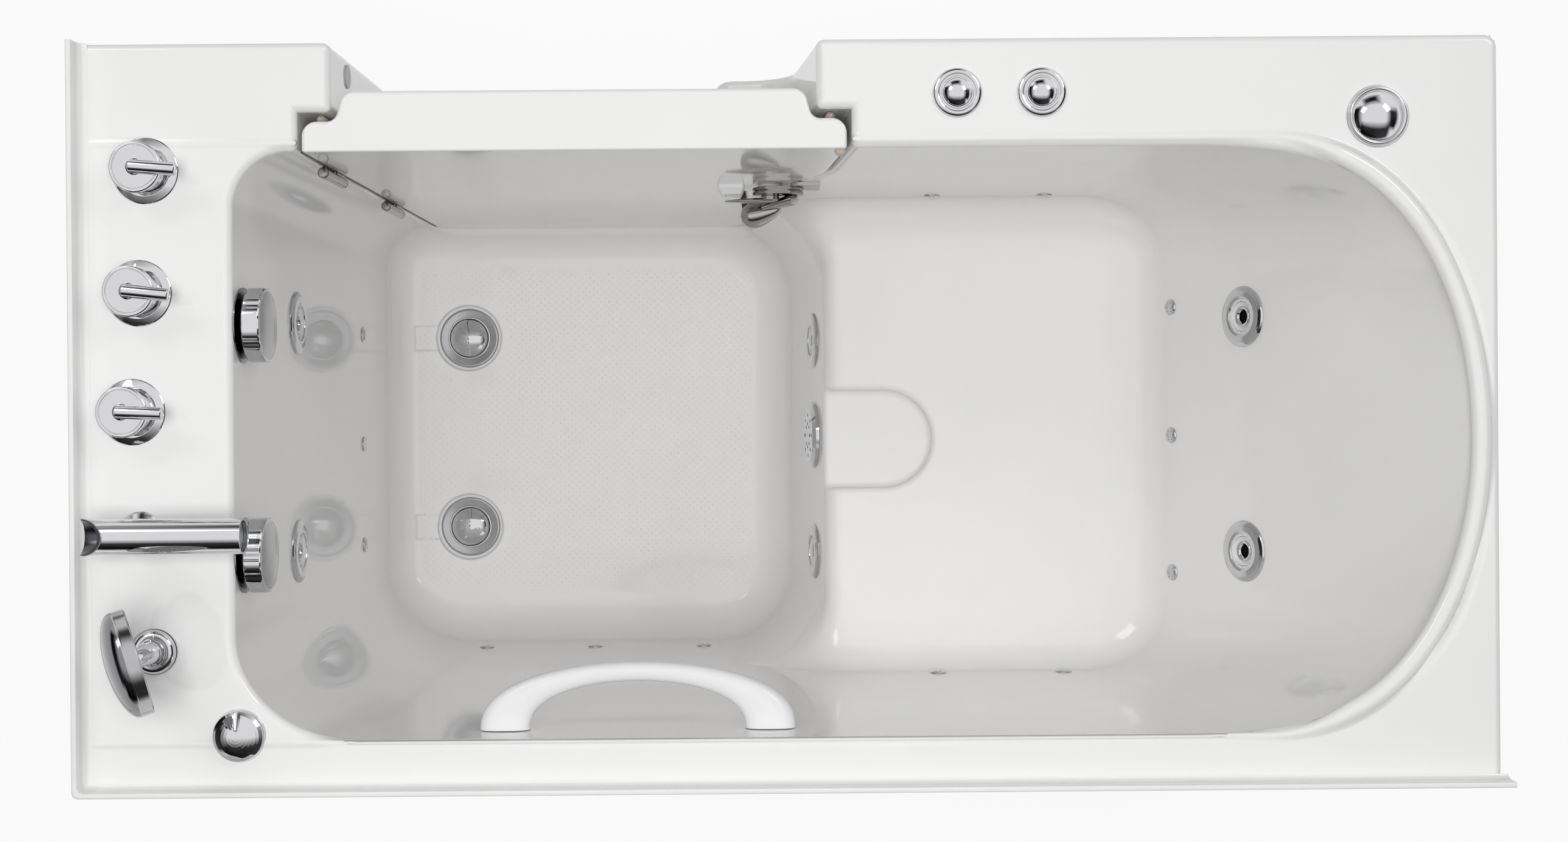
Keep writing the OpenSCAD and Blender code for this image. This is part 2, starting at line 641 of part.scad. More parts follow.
// Door
door_z1 = deck_z;
module door_inner_skin() color(white) difference() {
    across(flange_y0 + door_skin, door_y1, recess(door_gap, door_z1));
    across(flange_y0, door_y1 - door_skin, recess(door_gap + door_skin, door_z1 - door_skin));
}
outer_gap = 5;
module door_outer_skin() color(white) difference() {
    union() {
        across(door_y0, flange_y0 + eps, doorway(outer_gap, door_z1));
        across(flange_y0, flange_y0 + door_skin, recess(door_gap, door_z1));
    }
    across(door_y0 + door_skin, flange_y0 + door_skin + 1,
           doorway(outer_gap + door_skin, door_z1 - door_skin));
}
gasket_in = 12;      // how far the gasket lies in from the flange's edge
gasket_z1 = door_z1 - 14;
bumper_r = 6;
module door_gasket() color(rubber) {
    difference() {
        across(flange_y0 - gasket_d, flange_y0, recess(door_gap + gasket_in, gasket_z1));
        across(flange_y0 - gasket_d - 1, flange_y0 + 1,
               recess(door_gap + gasket_in + gasket_d, gasket_z1 + 1));
    }
    difference() {
        translate([recess_x0 + door_gap + bumper_r + 1, door_y1, deck_z - 20]) sphere(r = bumper_r);
        box(recess_x0, recess_x1, door_y1 - 2 * bumper_r, door_y1, deck_z - 60, deck_z);
    }
}

// Hinges: two leaves in the gap between flange and frame, on a pin
hinge_x = recess_x1 - door_gap / 2;
hinge_y = door_y1 + 2 + hinge_d / 2;
door_share = 0.4;    // part of each barrel that belongs to the door
hinge_pin_r = 3;
leaf_in = 26;        // how far the leaves reach into the gap
knuckle_gap = 0.3;
// One leaf with its part of the barrel, from z0 to z1, on the side x0 of the gap
module hinge_half(x0, z0, z1) difference() {
    union() {
        along_z(hinge_x, hinge_y, z0, z1, hinge_d / 2);
        box(x0, x0 + leaf_t, door_y1 - leaf_in, hinge_y, z0, z1);
    }
    along_z(hinge_x, hinge_y, z0 - 1, z1 + 1, hinge_pin_r + run_gap);
}
function hinge_split(z) = z + (door_share - 0.5) * hinge_length;
module hinge_frame_leaves() color(steel) for (z = hinge_z)
    hinge_half(recess_x1 - leaf_t, hinge_split(z) + knuckle_gap / 2, z + hinge_length / 2);
module hinge_door_leaves() color(steel) for (z = hinge_z)
    hinge_half(recess_x1 - door_gap, z - hinge_length / 2, hinge_split(z) - knuckle_gap / 2);
module hinge_pins() color(steel) for (z = hinge_z) translate([hinge_x, hinge_y, 0]) {
    h0 = z - hinge_length / 2 - 3;
    translate([0, 0, h0]) cylinder(h = hinge_length + 6, r = hinge_pin_r);
    for (side = [-1, 1])
        translate([0, 0, z + side * (hinge_length / 2 + 1.75)])
            cylinder(h = 2.5, r = hinge_d / 2, center = true);
}

// Latch: a cam disc on the door's inner face that reaches over the strike plate
latch_x = recess_x0 + 79.5;
latch_base_t = 3;
cam_t = 9;
cam_y0 = door_y1 + latch_base_t + 0.3;
cam_y1 = cam_y0 + cam_t;
latch_pin_r = 6;
cam_flat = 10;
latch_pivot_x = latch_x + 10;
latch_case = [32, 12, 46];
module latch_base() color(plastic) {
    difference() {
        union() {
            along_y(latch_pivot_x, door_y1, door_y1 + latch_base_t, latch_z, 15);
            along_y(latch_pivot_x, door_y1, cam_y1 + 4, latch_z, latch_pin_r);
        }
    }
    translate([latch_x + latch_d / 2 + 10, door_y1, latch_z - latch_case[2] / 2]) cube(latch_case);
}
module latch_lever() color(chrome) difference() {
    union() {
        difference() {
            along_y(latch_x, cam_y0, cam_y1, latch_z, latch_d / 2);
            box(latch_x - latch_d, latch_x + latch_d, cam_y0 - 1, cam_y1 + 1,
                latch_z + latch_d / 2 - 4, latch_z + latch_d);
        }
        along_y(latch_pivot_x, cam_y1 - eps, cam_y1 + 7, latch_z, 11);
        hull() {
            translate([latch_pivot_x, cam_y1 + 5, latch_z]) sphere(r = 6, $fn = 24);
            translate([latch_x + 22, cam_y1 + 20, latch_z - 24]) sphere(r = 8, $fn = 24);
        }
        hull() {
            translate([latch_pivot_x, cam_y1 + 20, latch_z - 26]) sphere(r = 11, $fn = 24);
            translate([latch_x + 31, cam_y1 + 26, latch_z - 34]) sphere(r = 15, $fn = 24);
        }
        hull() {
            translate([latch_pivot_x, cam_y1 + 4.5, latch_z]) sphere(r = 5, $fn = 16);
            translate([latch_x + 64, cam_y1 + 6, latch_z - 4]) sphere(r = 2, $fn = 16);
        }
    }
    along_y(latch_pivot_x, cam_y0 - 1, cam_y1 + 4 + 1, latch_z, latch_pin_r + run_gap);
}
keeper = [28, 60];
module latch_keeper() color(chrome)
    box(recess_x0 + 56 - keeper[0], recess_x0 + 56, basin_y0 + 0.1, cam_y0 - 0.4,
        latch_z - keeper[1] / 2, latch_z + keeper[1] / 2);

jamb_cap_r = 13;
module jamb_cap() color([0.62, 0.62, 0.62])
    along_x(doorway_x1 - 1.5, doorway_x1, y_min + 22, deck_z - 89, jamb_cap_r);

// Grab bar on the wall-side wall, an arch with two flat feet
bar_x0 = seat_front_x + 48;
bar_x1 = basin_x1 - 252;
bar_foot_l = 55;
bar_reach = 74;
bar_w = 22;
bar_h = 30;
bar_z = deck_z - 65;
bar_steps = 12;
bar_wall_y = back_wall_y(bar_z + bar_h / 2) - 1;
bar_mid_x = (bar_x0 + bar_x1) / 2;
function bar_arch(half, reach) =
    [for (i = [0:bar_steps])
        let (a = 180 * i / bar_steps)
        [bar_mid_x + half * cos(a), bar_wall_y - reach * pow(sin(a), 0.85)]];
module grab_bar() color(white) translate([0, 0, bar_z - bar_h / 2]) linear_extrude(height = bar_h)
    polygon(concat(
        bar_arch((bar_x1 - bar_x0) / 2, bar_reach),
        [for (i = [bar_steps:-1:0]) bar_arch((bar_x1 - bar_x0) / 2 - bar_foot_l,
                                             bar_reach - bar_w)[i]]));

// Taps
escutcheon_t = 5;
tap_seat_z = deck_z + escutcheon_t;
tap_neck_r = 17;
module at_taps() for (i = [0:2]) translate([tap_x[i], tap_y[i], deck_z]) children();
module valve_escutcheons() color(chrome) at_taps() difference() {
    rotate_extrude() polygon([
        [0, 0], [tap_base_d / 2, 0], [tap_base_d / 2, 1.5], [tap_base_d / 2 - 4, escutcheon_t],
        [0, escutcheon_t]]);
    translate([0, 0, -1]) cylinder(h = escutcheon_t + 2, r = tap_stem_r + seat_gap);
}
valve_z0 = deck_z - 70;
supply_z = valve_z0 + 14;
supply_x = x_max - 30;
supply_r = 10.5;
riser_z1 = supply_z + supply_r + 1.5;
valve_nut_t = 8;
module valve_body(i) {
    difference() {
        union() {
            along_z(tap_x[i], tap_y[i], valve_z0, deck_z + escutcheon_t - 0.5, tap_stem_r);
            translate([tap_x[i], tap_y[i], under_deck - valve_nut_t])
                cylinder(h = valve_nut_t, r = tap_stem_r + 7, $fn = 6);
            along_x(tap_x[i], supply_x - supply_r - 4, tap_y[i], supply_z, supply_r);
        }
        along_z(tap_x[i], tap_y[i], deck_z - 20, deck_z + 20, knob_shaft_r + run_gap);
    }
}
module valve_bodies() color([0.72, 0.60, 0.36]) for (i = [0:2]) valve_body(i);
knob_shaft_r = 6;
// Tap handle: a flared drum with a lever on its top
module tap_knob(i) color(chrome) translate([tap_x[i], tap_y[i], 0]) {
    z0 = tap_seat_z + seat_gap;
    z1 = deck_z + tap_knob_h;
    rotate_extrude() polygon([
        [0, z0], [tap_knob_d / 2 - 5, z0], [tap_knob_d / 2 - 8, z0 + 6],
        [tap_knob_d / 2 - 8, z1 - 16], [tap_knob_d / 2, z1 - 8], [tap_knob_d / 2, z1 - 1],
        [tap_knob_d / 2 - 1, z1], [0, z1]]);
    translate([0, 0, deck_z - 18]) cylinder(h = z0 - deck_z + 18 + eps, r = knob_shaft_r);
    translate([4 - tap_lever_l, 0, z1 + tap_lever_d / 2 - 3])
        rotate([0, 90, 0]) cylinder(h = tap_lever_l, r = tap_lever_d / 2);
}
module supply_pipes() color([0.75, 0.50, 0.36]) {
    union() {
        along_y(supply_x, tap_y[0] - 45, holder_y, supply_z, supply_r);
        for (i = [0:2]) along_x(supply_x - supply_r - 4, supply_x, tap_y[i], supply_z, supply_r + 3);
        for (p = [[spout_x, spout_y], [holder_x, holder_y]]) {
            along_x(p[0], supply_x, p[1], supply_z, supply_r);
            along_z(p[0], p[1], supply_z, riser_z1, supply_r);
        }
    }
}
spout_base_d = 46;
spout_neck_r = 13;
spout_z = deck_z + spout_rise;
module spout_base() color(chrome) {
    difference() {
        union() {
            translate([spout_x, spout_y, deck_z]) rotate_extrude() polygon([
                [0, 0], [spout_base_d / 2, 0], [spout_base_d / 2, 3],
                [spout_neck_r + 2, 8], [spout_neck_r, 10], [spout_neck_r, spout_rise], [0, spout_rise]]);
            along_z(spout_x, spout_y, riser_z1, deck_z + 1, spout_stem_r);
            translate([spout_x, spout_y, under_deck - valve_nut_t])
                cylinder(h = valve_nut_t, r = spout_stem_r + 7, $fn = 6);
        }
        along_x(spout_x - 100, spout_x + 100, spout_y, spout_z, spout_d / 2 + 0.2);
    }
}
spout_wall = 2.5;
spout_x1 = spout_x + 40;
spout_x0 = spout_x1 - spout_length;
module spout_tube() color(chrome) difference() {
    along_x(spout_x0, spout_x1, spout_y, spout_z, spout_d / 2);
    along_x(spout_x0 - 1, spout_x1 + 1, spout_y, spout_z, spout_d / 2 - spout_wall);
    // oblique cut of the back end
    translate([spout_x1 - 28, spout_y - spout_d, spout_z + spout_d / 2])
        rotate([0, 35, 0]) cube([spout_d * 2, spout_d * 2, spout_d * 1.2]);
}

// Hand shower in its deck holder
holder_d = 48;
holder_h = 16;
holder_z1 = deck_z + holder_h;
module shower_holder() color(chrome) translate([holder_x, holder_y, 0]) {
    difference() {
        union() {
            rotate_extrude() translate([holder_d / 2 - 8, deck_z + 8]) circle(r = 8);
            translate([0, 0, deck_z]) cylinder(h = 12, r = holder_d / 2 - 8);
            translate([0, 0, riser_z1]) cylinder(h = deck_z - riser_z1 + 1, r = holder_sleeve_r);
            translate([0, 0, under_deck - valve_nut_t])
                cylinder(h = valve_nut_t, r = holder_sleeve_r + 5, $fn = 6);
        }
        translate([0, 0, deck_z - 50]) cylinder(h = 100, r = shower_handle_d / 2 + seat_gap);
    }
}
shower_turn = 16.6;
shower_rim = 14;
shower_dome = 20;
shower_z = deck_z + shower_rise;
shower_x = holder_x - 7;
shower_tilt = 20;     // how far the face looks down from level
shower_neck_r = 10;
shower_neck_up = 30;  // where the handle starts to bend into the head, above the deck
shower_stop_r = shower_handle_d / 2 + 3;
module shower_head_place() translate([shower_x, holder_y, shower_z])
    rotate([0, 0, shower_turn]) rotate([0, -90 - shower_tilt, 0]) children();
// A point of the head, d below its middle and h in front of it
function in_head(d, h) =
    let (out = d * sin(shower_tilt) - h * cos(shower_tilt))
    [shower_x + out * cos(shower_turn), holder_y + out * sin(shower_turn),
     shower_z - d * cos(shower_tilt) - h * sin(shower_tilt)];
module hand_shower_body() color(chrome) {
    shower_head_place() rotate_extrude() polygon(concat(
        [[0, -2], [shower_d / 2 - 5, -2], [shower_d / 2 - 5, shower_rim / 2],
         [shower_d / 2, shower_rim / 2], [shower_d / 2, -shower_rim / 2]],
        [for (i = [1:8])
            let (a = 90 * i / 8)
            [shower_d / 2 * cos(a), -shower_rim / 2 - shower_dome * sin(a)]]));
    difference() {
        pipe([holder_x, holder_y, deck_z + shower_neck_up - 9], in_head(shower_d / 2 - 11.5, -12),
             shower_neck_r);
        shower_head_place() translate([-shower_d / 2 + 4.9, -20, -2.1]) cube([60, 40, 40]);
    }
    translate([holder_x, holder_y, 0]) {
        translate([0, 0, deck_z - 40])
            cylinder(h = 41 + shower_neck_up, r = shower_handle_d / 2);
        translate([0, 0, holder_z1 + seat_gap]) cylinder(h = 5, r = shower_stop_r);
    }
}
nozzle_rings = [8, 16, 24, 32, 40];
module hand_shower_face() color(plastic) shower_head_place() {
    translate([0, 0, -1.7]) cylinder(h = shower_rim / 2 + 1, r = shower_d / 2 - 5.3);
}

// Overflows: a plate on the foot wall, an elbow behind it, and a turning knob
overflow_plate_t = 6;
overflow_shaft_r = 8;
overflow_neck = 1.5;
overflow_knob_t = 24.5;
module overflow_plates() color(chrome) for (p = overflow_pos) facing_seat(p) difference() {
    union() {
        rotate_extrude() polygon([
            [0, 0], [overflow_d / 2, 0], [overflow_d / 2, 1.5], [overflow_d / 2 - 4, 3],
            [18, overflow_plate_t], [0, overflow_plate_t]]);
        translate([0, 0, -wall]) cylinder(h = wall + 1, r = overflow_body_r);
    }
    translate([0, 0, -wall - 1]) cylinder(h = 30, r = overflow_shaft_r + run_gap);
    for (a = [0:60:300]) rotate([0, 0, a]) translate([15.5, 0, -wall - 1])
        cylinder(h = 30, r = 4);
}
module overflow_knob(k) color(chrome) facing_seat(overflow_pos[k]) {
    z0 = overflow_plate_t + overflow_neck;
    rotate_extrude() polygon([
        [0, z0], [overflow_d / 2 - 1, z0], [overflow_d / 2, z0 + 1],
        [overflow_d / 2, z0 + overflow_knob_t - 5], [overflow_d / 2 - 3, z0 + overflow_knob_t - 3],
        [12, z0 + overflow_knob_t], [0, z0 + overflow_knob_t]]);
    translate([0, 0, -wall - 2]) cylinder(h = z0 + wall + 3, r = overflow_shaft_r);
}
riser_x = basin_x1 + 92;
riser_r = 14;
module overflow_elbows() color(dark) for (p = overflow_pos) difference() {
    union() {
        along_x(basin_x1 + wall, basin_x1 + wall + 10, p[1], p[2], overflow_body_r + 6);
        along_x(basin_x1 + wall, riser_x, p[1], p[2], riser_r + 3);
        translate([riser_x, p[1], p[2]]) sphere(r = riser_r + 3);
        along_z(riser_x, p[1], p[2] - 60, p[2], riser_r + 3);
    }
    along_x(basin_x1 + wall - 1, basin_x1 + wall + 4, p[1], p[2], overflow_shaft_r + 2);
}
cable_r = 4;
cable_x = basin_x1 + 26;
cable_past = 51;     // the cable runs this far to the side of its overflow
waste_z = 22;
waste_r = waste_d / 2;
spigot_l = 40;       // the end of the waste pipe that a fitting slides over
cable_socket_x = drain_pos[0][0] + waste_r + 8;
module drain_cables() color(dark) for (p = overflow_pos)
    pipe_run([[cable_x, p[1] + side_of(p) * (riser_r + 3), p[2]],
              [cable_x, p[1] + side_of(p) * cable_past, p[2]],
              [cable_x, p[1] + side_of(p) * cable_past, waste_z],
              [cable_socket_x, p[1] + side_of(p) * cable_past, waste_z]], cable_r);
// The cables run between the two overflows
function side_of(p) = p[1] < basin_mid_y ? 1 : -1;

// Drains in the floor
drain_ring_t = 3;
drain_bore_r = 25;
drain_nut_t = 7;
drain_bottom_z = drain_floor_z - wall - drain_nut_t;
plug_stem_r = 4;
module drain_flanges() color(chrome) for (p = drain_pos) translate([p[0], p[1], 0]) {
    difference() {
        union() {
            translate([0, 0, drain_floor_z]) rotate_extrude() polygon([
                [0, 0], [drain_ring_d / 2, 0], [drain_ring_d / 2 - 2, drain_ring_t], [0, drain_ring_t]]);
            translate([0, 0, drain_bottom_z])
                cylinder(h = drain_floor_z - drain_bottom_z + 1, r = drain_body_r);
            translate([0, 0, drain_bottom_z]) cylinder(h = drain_nut_t, r = drain_body_r + 12);
        }
        translate([0, 0, drain_bottom_z + 4]) cylinder(h = 40, r = drain_bore_r);
        translate([0, 0, drain_bottom_z - 1]) cylinder(h = 40, r = plug_stem_r + run_gap);
        for (a = [30:60:330]) rotate([0, 0, a]) translate([14, 0, drain_bottom_z - 1])
            cylinder(h = 10, r = 5);
    }
}
module drain_plug(k) color(chrome) translate([drain_pos[k][0], drain_pos[k][1], 0]) {
    z0 = drain_floor_z + drain_ring_t + seat_gap;
    rise = 9;
    dome_r = (pow(drain_dome_d / 2, 2) + rise * rise) / (2 * rise);
    translate([0, 0, z0]) rotate_extrude() difference() {
        polygon(concat(
            [[0, 0], [drain_dome_d / 2, 0], [drain_dome_d / 2, 2]],
            [for (i = [1:8])
                let (x = drain_dome_d / 2 * (1 - i / 8))
                [x, 2 + rise - dome_r + sqrt(dome_r * dome_r - x * x)]]));
    }
    translate([0, 0, drain_bottom_z - 3]) cylinder(h = z0 - drain_bottom_z + 4, r = plug_stem_r);
}
outlet_y = (drain_pos[0][1] + drain_pos[1][1]) / 2;
outlet_x1 = x_max - 10;
module waste_pipes() color([0.9, 0.9, 0.88]) difference() {
    union() {
        along_y(drain_pos[0][0], drain_pos[0][1] - 30, drain_pos[1][1] + 30, waste_z, waste_r);
        for (p = drain_pos) along_z(p[0], p[1], waste_z, drain_bottom_z, waste_r);
        along_x(drain_pos[0][0], outlet_x1, outlet_y, waste_z, waste_r);
        along_x(drain_pos[0][0], outlet_x1 - spigot_l, outlet_y, waste_z, waste_r + 2);
        along_y(riser_x, overflow_pos[0][1] - 16, overflow_pos[1][1] + 16, waste_z, riser_r + 3);
        for (p = overflow_pos) {
            along_z(riser_x, p[1], waste_z, p[2] - 60, riser_r);
            along_x(drain_pos[0][0], cable_socket_x, p[1] + side_of(p) * cable_past, waste_z, 9);
        }
    }
    for (p = drain_pos) along_z(p[0], p[1], waste_z - 4, drain_bottom_z + 1, waste_r - 4);
    along_x(drain_pos[0][0] + waste_r + 20, outlet_x1 + 1, outlet_y, waste_z, waste_r - 3);
}

// Water jets
ball_r = jet_ball_d / 2;
ball_z = -ball_r * 0.3;
ball_gap = 0.35;
module jet_rings() color(chrome) at_water_jets() difference() {
    translate([0, 0, seat_gap]) rotate_extrude() polygon([
        [0, 0], [jet_ring_d / 2, 0], [jet_ring_d / 2 - 1, 2], [jet_ring_d / 2 - 6, 4.5],
        [0, 4.5]]);
    translate([0, 0, -1]) cylinder(h = 10, r = jet_body_r + seat_gap);
}
module jet_bodies() color(white) at_water_jets() difference() {
    union() {
        translate([0, 0, -jet_body_l]) cylinder(h = jet_body_l + 4, r = jet_body_r);
        translate([0, 0, -wall - 9]) cylinder(h = 8, r = jet_body_r + 6);
    }
    translate([0, 0, ball_z]) sphere(r = ball_r + ball_gap);
    translate([0, 0, 3]) cylinder(h = 2, r = jet_body_r - 3);
    translate([0, 0, -jet_body_l - 1]) cylinder(h = jet_body_l, r = 9);
}
module jet_nozzle() {
    difference() {
        translate([0, 0, ball_z]) sphere(r = ball_r);
        translate([0, 0, ball_z + ball_r - 4]) cylinder(h = 10, r = ball_r);
        translate([0, 0, ball_z - ball_r - 1]) cylinder(h = 3 * ball_r, r = 6.5);
    }
}
module nozzle_foot(k) color(chrome) facing_seat(foot_jets[k]) jet_nozzle();
module nozzle_seat(k) color(chrome) facing_foot(seat_jets[k], seat_lean) jet_nozzle();
module nozzle_rest(k) color(chrome) facing_foot(rest_jets[k], rest_lean) jet_nozzle();

module suction_cover() color(chrome) facing_foot(suction_pos, seat_lean) difference() {
    union() {
        translate([0, 0, seat_gap]) rotate_extrude() polygon([
            [0, 0], [suction_d / 2, 0], [suction_d / 2 - 2, 4], [suction_d / 2 - 10, 8], [0, 9]]);
        translate([0, 0, -jet_body_l]) cylinder(h = jet_body_l + 1, r = suction_body_r);
        translate([0, 0, -wall - 9]) cylinder(h = 8, r = suction_body_r + 6);
    }
    for (ring = [16, 28]) for (a = [0:45:315]) rotate([0, 0, a]) translate([ring, 0, 2])
        cylinder(h = 10, r = 2.5);
}

// Air jets
module air_jets() color(chrome) at_air_jets() {
    translate([0, 0, seat_gap]) rotate_extrude() polygon([
        [0, 0], [air_cap_d / 2, 0], [air_cap_d / 2 - 1.5, 2], [4, 3], [0, 3]]);
    translate([0, 0, -wall - 2]) cylinder(h = wall + 2 + 1, r = air_body_r);
}
air_pipe_r = 6;
air_pipe_in = wall + 2 + seat_gap + air_pipe_r;
blower_pos = [x_min + 162, y_min + 150];
blower_h = 110;
air_past = 14;       // the pipes run this far past their last jets
module air_pipes() color(plastic) {
    rest_off = [for (p = rest_air) p - air_pipe_in * [cos(rest_lean), 0, sin(rest_lean)]];
    along_y(basin_x1 + air_pipe_in, foot_air[0][1] - air_past, foot_air[2][1] + air_past,
            foot_air_z, air_pipe_r);
    along_x(well_air[2][0] - air_past, well_air[0][0] + air_past, well_air[0][1] + air_pipe_in,
            well_air_z, air_pipe_r);
    along_x(seat_back_air[1][0] - air_past, seat_back_air[0][0] + air_past,
            seat_back_air[0][1] + air_pipe_in, seat_air_z, air_pipe_r);
    along_y(rest_off[0][0], rest_air[0][1] - air_past, rest_air[2][1] + air_past,
            rest_off[0][2], air_pipe_r);
    pipe_run([[seat_front_air[0][0] + air_past, basin_y0 - air_pipe_in, seat_air_z],
              [blower_pos[0], basin_y0 - air_pipe_in, seat_air_z],
              [blower_pos[0], basin_y0 - air_pipe_in, board_z1 + blower_h]], air_pipe_r);
}
module air_blower() color(dark) translate([blower_pos[0], blower_pos[1], board_z1]) {
    rotate_extrude() polygon([
        [0, 0], [74, 0], [74, 6], [66, 8], [66, blower_h - 14], [58, blower_h], [0, blower_h]]);
}

// Pump under the seat, and its pipes
pump_r = 70;
pump_z = board_z1 + pump_r + 6;
pump_y = suction_pos[1];
pump_x1 = seat_front_x + seat_front_lean - 135;
wet_end_l = 70;
motor_l = 190;
pipe_r = 13;
jet_feed_x = seat_front_x - 100;
module pump_wet_end() color(dark) difference() {
    union() {
        along_x(pump_x1 - wet_end_l, pump_x1, pump_y, pump_z, pump_r);
        along_x(pump_x1 - 1, pump_x1 + 10, pump_y, pump_z, pipe_r + 8);
        along_z(pump_x1 - wet_end_l / 2, pump_y, pump_z, pump_z + pump_r + 12, pipe_r + 6);
        box(pump_x1 - wet_end_l + 10, pump_x1 - 10, pump_y - 50, pump_y + 50, board_z1, pump_z - 30);
    }
    along_x(pump_x1 - 10, pump_x1 + 11, pump_y, pump_z, pipe_r + 3);
}
module pump_motor() color([0.30, 0.33, 0.38]) {
    x1 = pump_x1 - wet_end_l;
    union() {
        along_x(x1 - motor_l, x1, pump_y, pump_z, pump_r - 10);
        along_x(x1 - motor_l - 14, x1 - motor_l + 1, pump_y, pump_z, pump_r - 18);
        box(x1 - motor_l + 30, x1 - 30, pump_y - 55, pump_y + 55, board_z1, pump_z - 35);
        box(x1 - 130, x1 - 50, pump_y - 30, pump_y + 30, pump_z, pump_z + pump_r + 14);
    }
}
feed_z = seat_jet_z;
feed_x = pump_x1 - wet_end_l / 2;
feed_y = basin_y1 + wall + 20;
tee_end = pipe_r + elbow_wall + 0.3;    // where a branch starts, from the middle of its tee
function unit(v) = v / norm(v);
// Pipe from a seat jet to its tee
module seat_branch(k) {
    m = [cos(seat_lean), 0, sin(seat_lean)];
    start = seat_jets[k] - body_end * m;
    tee_at = [feed_x, rest_jets[k][1], feed_z];
    bend = start - 18 * m;
    pipe_run([start, bend, tee_at + tee_end * unit(bend - tee_at)], pipe_r);
}
// Pipe from a backrest jet down to its tee
module rest_branch(k) {
    n = [cos(rest_lean), 0, sin(rest_lean)];
    start = rest_jets[k] - body_end * n;
    bend = start - 34 * n;
    pipe_run([start, bend, [bend[0], bend[1], feed_z], [feed_x - tee_end, bend[1], feed_z]], pipe_r);
}
// Pipe from a foot jet, over to its feed pipe and on to the point end
module foot_branch(k, end)
    pipe_run(concat([[basin_x1 + body_end, foot_jets[k][1], foot_jet_z],
                     [foot_feed_x, foot_jets[k][1], foot_jet_z]], end), pipe_r);
module pump_pipes() color(white) {
    // suction side
    back = suction_pos - body_end * [cos(seat_lean), 0, sin(seat_lean)];
    pipe_run([back, [pump_x1 + 32, pump_y, back[2] - 5], [pump_x1 + 32, pump_y, pump_z],
              [pump_x1 + 10, pump_y, pump_z]], pipe_r);
    // pressure side: riser, main pipe and branches
    pipe([feed_x, pump_y, pump_z + pump_r + 12], [feed_x, pump_y, feed_z - tee_end], pipe_r);
    foot_branch(0, [[foot_feed_x, foot_jets[0][1], feed_z], [foot_feed_x, feed_y, feed_z],
                    [feed_x, feed_y, feed_z], [feed_x, rest_jets[0][1], feed_z]]);
    for (k = [0:1]) tee([feed_x, rest_jets[k][1], feed_z], pipe_r);
    tee([feed_x, pump_y, feed_z], pipe_r);
    tee([foot_feed_x, foot_jets[1][1], feed_z], pipe_r);
    foot_branch(1, [[foot_feed_x, foot_jets[1][1], feed_z + tee_end]]);
    for (k = [0:1]) {
        seat_branch(k);
        rest_branch(k);
    }
}
foot_feed_x = basin_x1 + 57;

control_size = [110, 180, 90];
module control_box() color([0.25, 0.26, 0.28])
    translate([frame_x0 + tube_s + 30, 120, board_z1]) {
        cube(control_size);
        translate([20, 30, control_size[2]]) cube([70, 120, 6]);
    }

// Push buttons, air control and blanking cap on the deck
bezel_d = 53;
bezel_t = 6;
button_r = 15;
button_travel = 4;
module button_bezels() color(chrome) for (x = button_x) translate([x, button_y, deck_z]) difference() {
    union() {
        rotate_extrude() polygon([
            [0, 0], [bezel_d / 2, 0], [bezel_d / 2, 2], [bezel_d / 2 - 3, 5], [button_r + 3, bezel_t],
            [0, bezel_t]]);
        translate([0, 0, -wall - 34]) cylinder(h = wall + 35, r = button_body_r);
        translate([0, 0, -wall - valve_nut_t]) cylinder(h = valve_nut_t, r = button_body_r + 6, $fn = 6);
    }
    translate([0, 0, -8]) cylinder(h = 20, r = button_r + 0.3);
    translate([0, 0, -24]) cylinder(h = 20, r = 4 + run_gap);
}
module push_button(x) color(chrome) translate([x, button_y, deck_z]) {
    rise = 6;
    dome_r = (button_r * button_r + rise * rise) / (2 * rise);
    rotate_extrude() polygon(concat(
        [[0, -3], [button_r, -3], [button_r, bezel_t + 1]],
        [for (i = [1:8])
            let (u = button_r * (1 - i / 8))
            [u, bezel_t + 1 + rise - dome_r + sqrt(dome_r * dome_r - u * u)]]));
    translate([0, 0, -18]) cylinder(h = 16, r = 4);
}
control_d = 53;
module air_control_base() color(chrome) translate([air_control_x, air_control_y, deck_z]) difference() {
    union() {
        rotate_extrude() polygon([[0, 0], [control_d / 2 + 2, 0], [control_d / 2 + 1, 3], [0, 3]]);
        translate([0, 0, -wall - 40]) cylinder(h = wall + 41, r = air_control_body_r);
        translate([0, 0, -wall - valve_nut_t])
            cylinder(h = valve_nut_t, r = air_control_body_r + 6, $fn = 6);
    }
    translate([0, 0, -20]) cylinder(h = 30, r = 6 + run_gap);
}
module domed_cap(d, edge, rise) {
    dome_r = (d * d / 4 + rise * rise) / (2 * rise);
    rotate_extrude() polygon(concat(
        [[0, 0], [d / 2, 0], [d / 2, edge]],
        [for (i = [1:8])
            let (u = d / 2 * (1 - i / 8))
            [u, edge + rise - dome_r + sqrt(dome_r * dome_r - u * u)]]));
}
module air_control_knob() color(chrome)
    translate([air_control_x, air_control_y, deck_z + 3 + seat_gap]) {
        difference() {
            domed_cap(control_d, 4, 9);
            hull() {
                translate([0, -9, 12]) sphere(r = 2.5, $fn = 20);
                translate([0, -control_d / 2, 10]) sphere(r = 6, $fn = 20);
            }
        }
        translate([0, 0, -20]) cylinder(h = 21, r = 6);
    }
cap_d = 67;
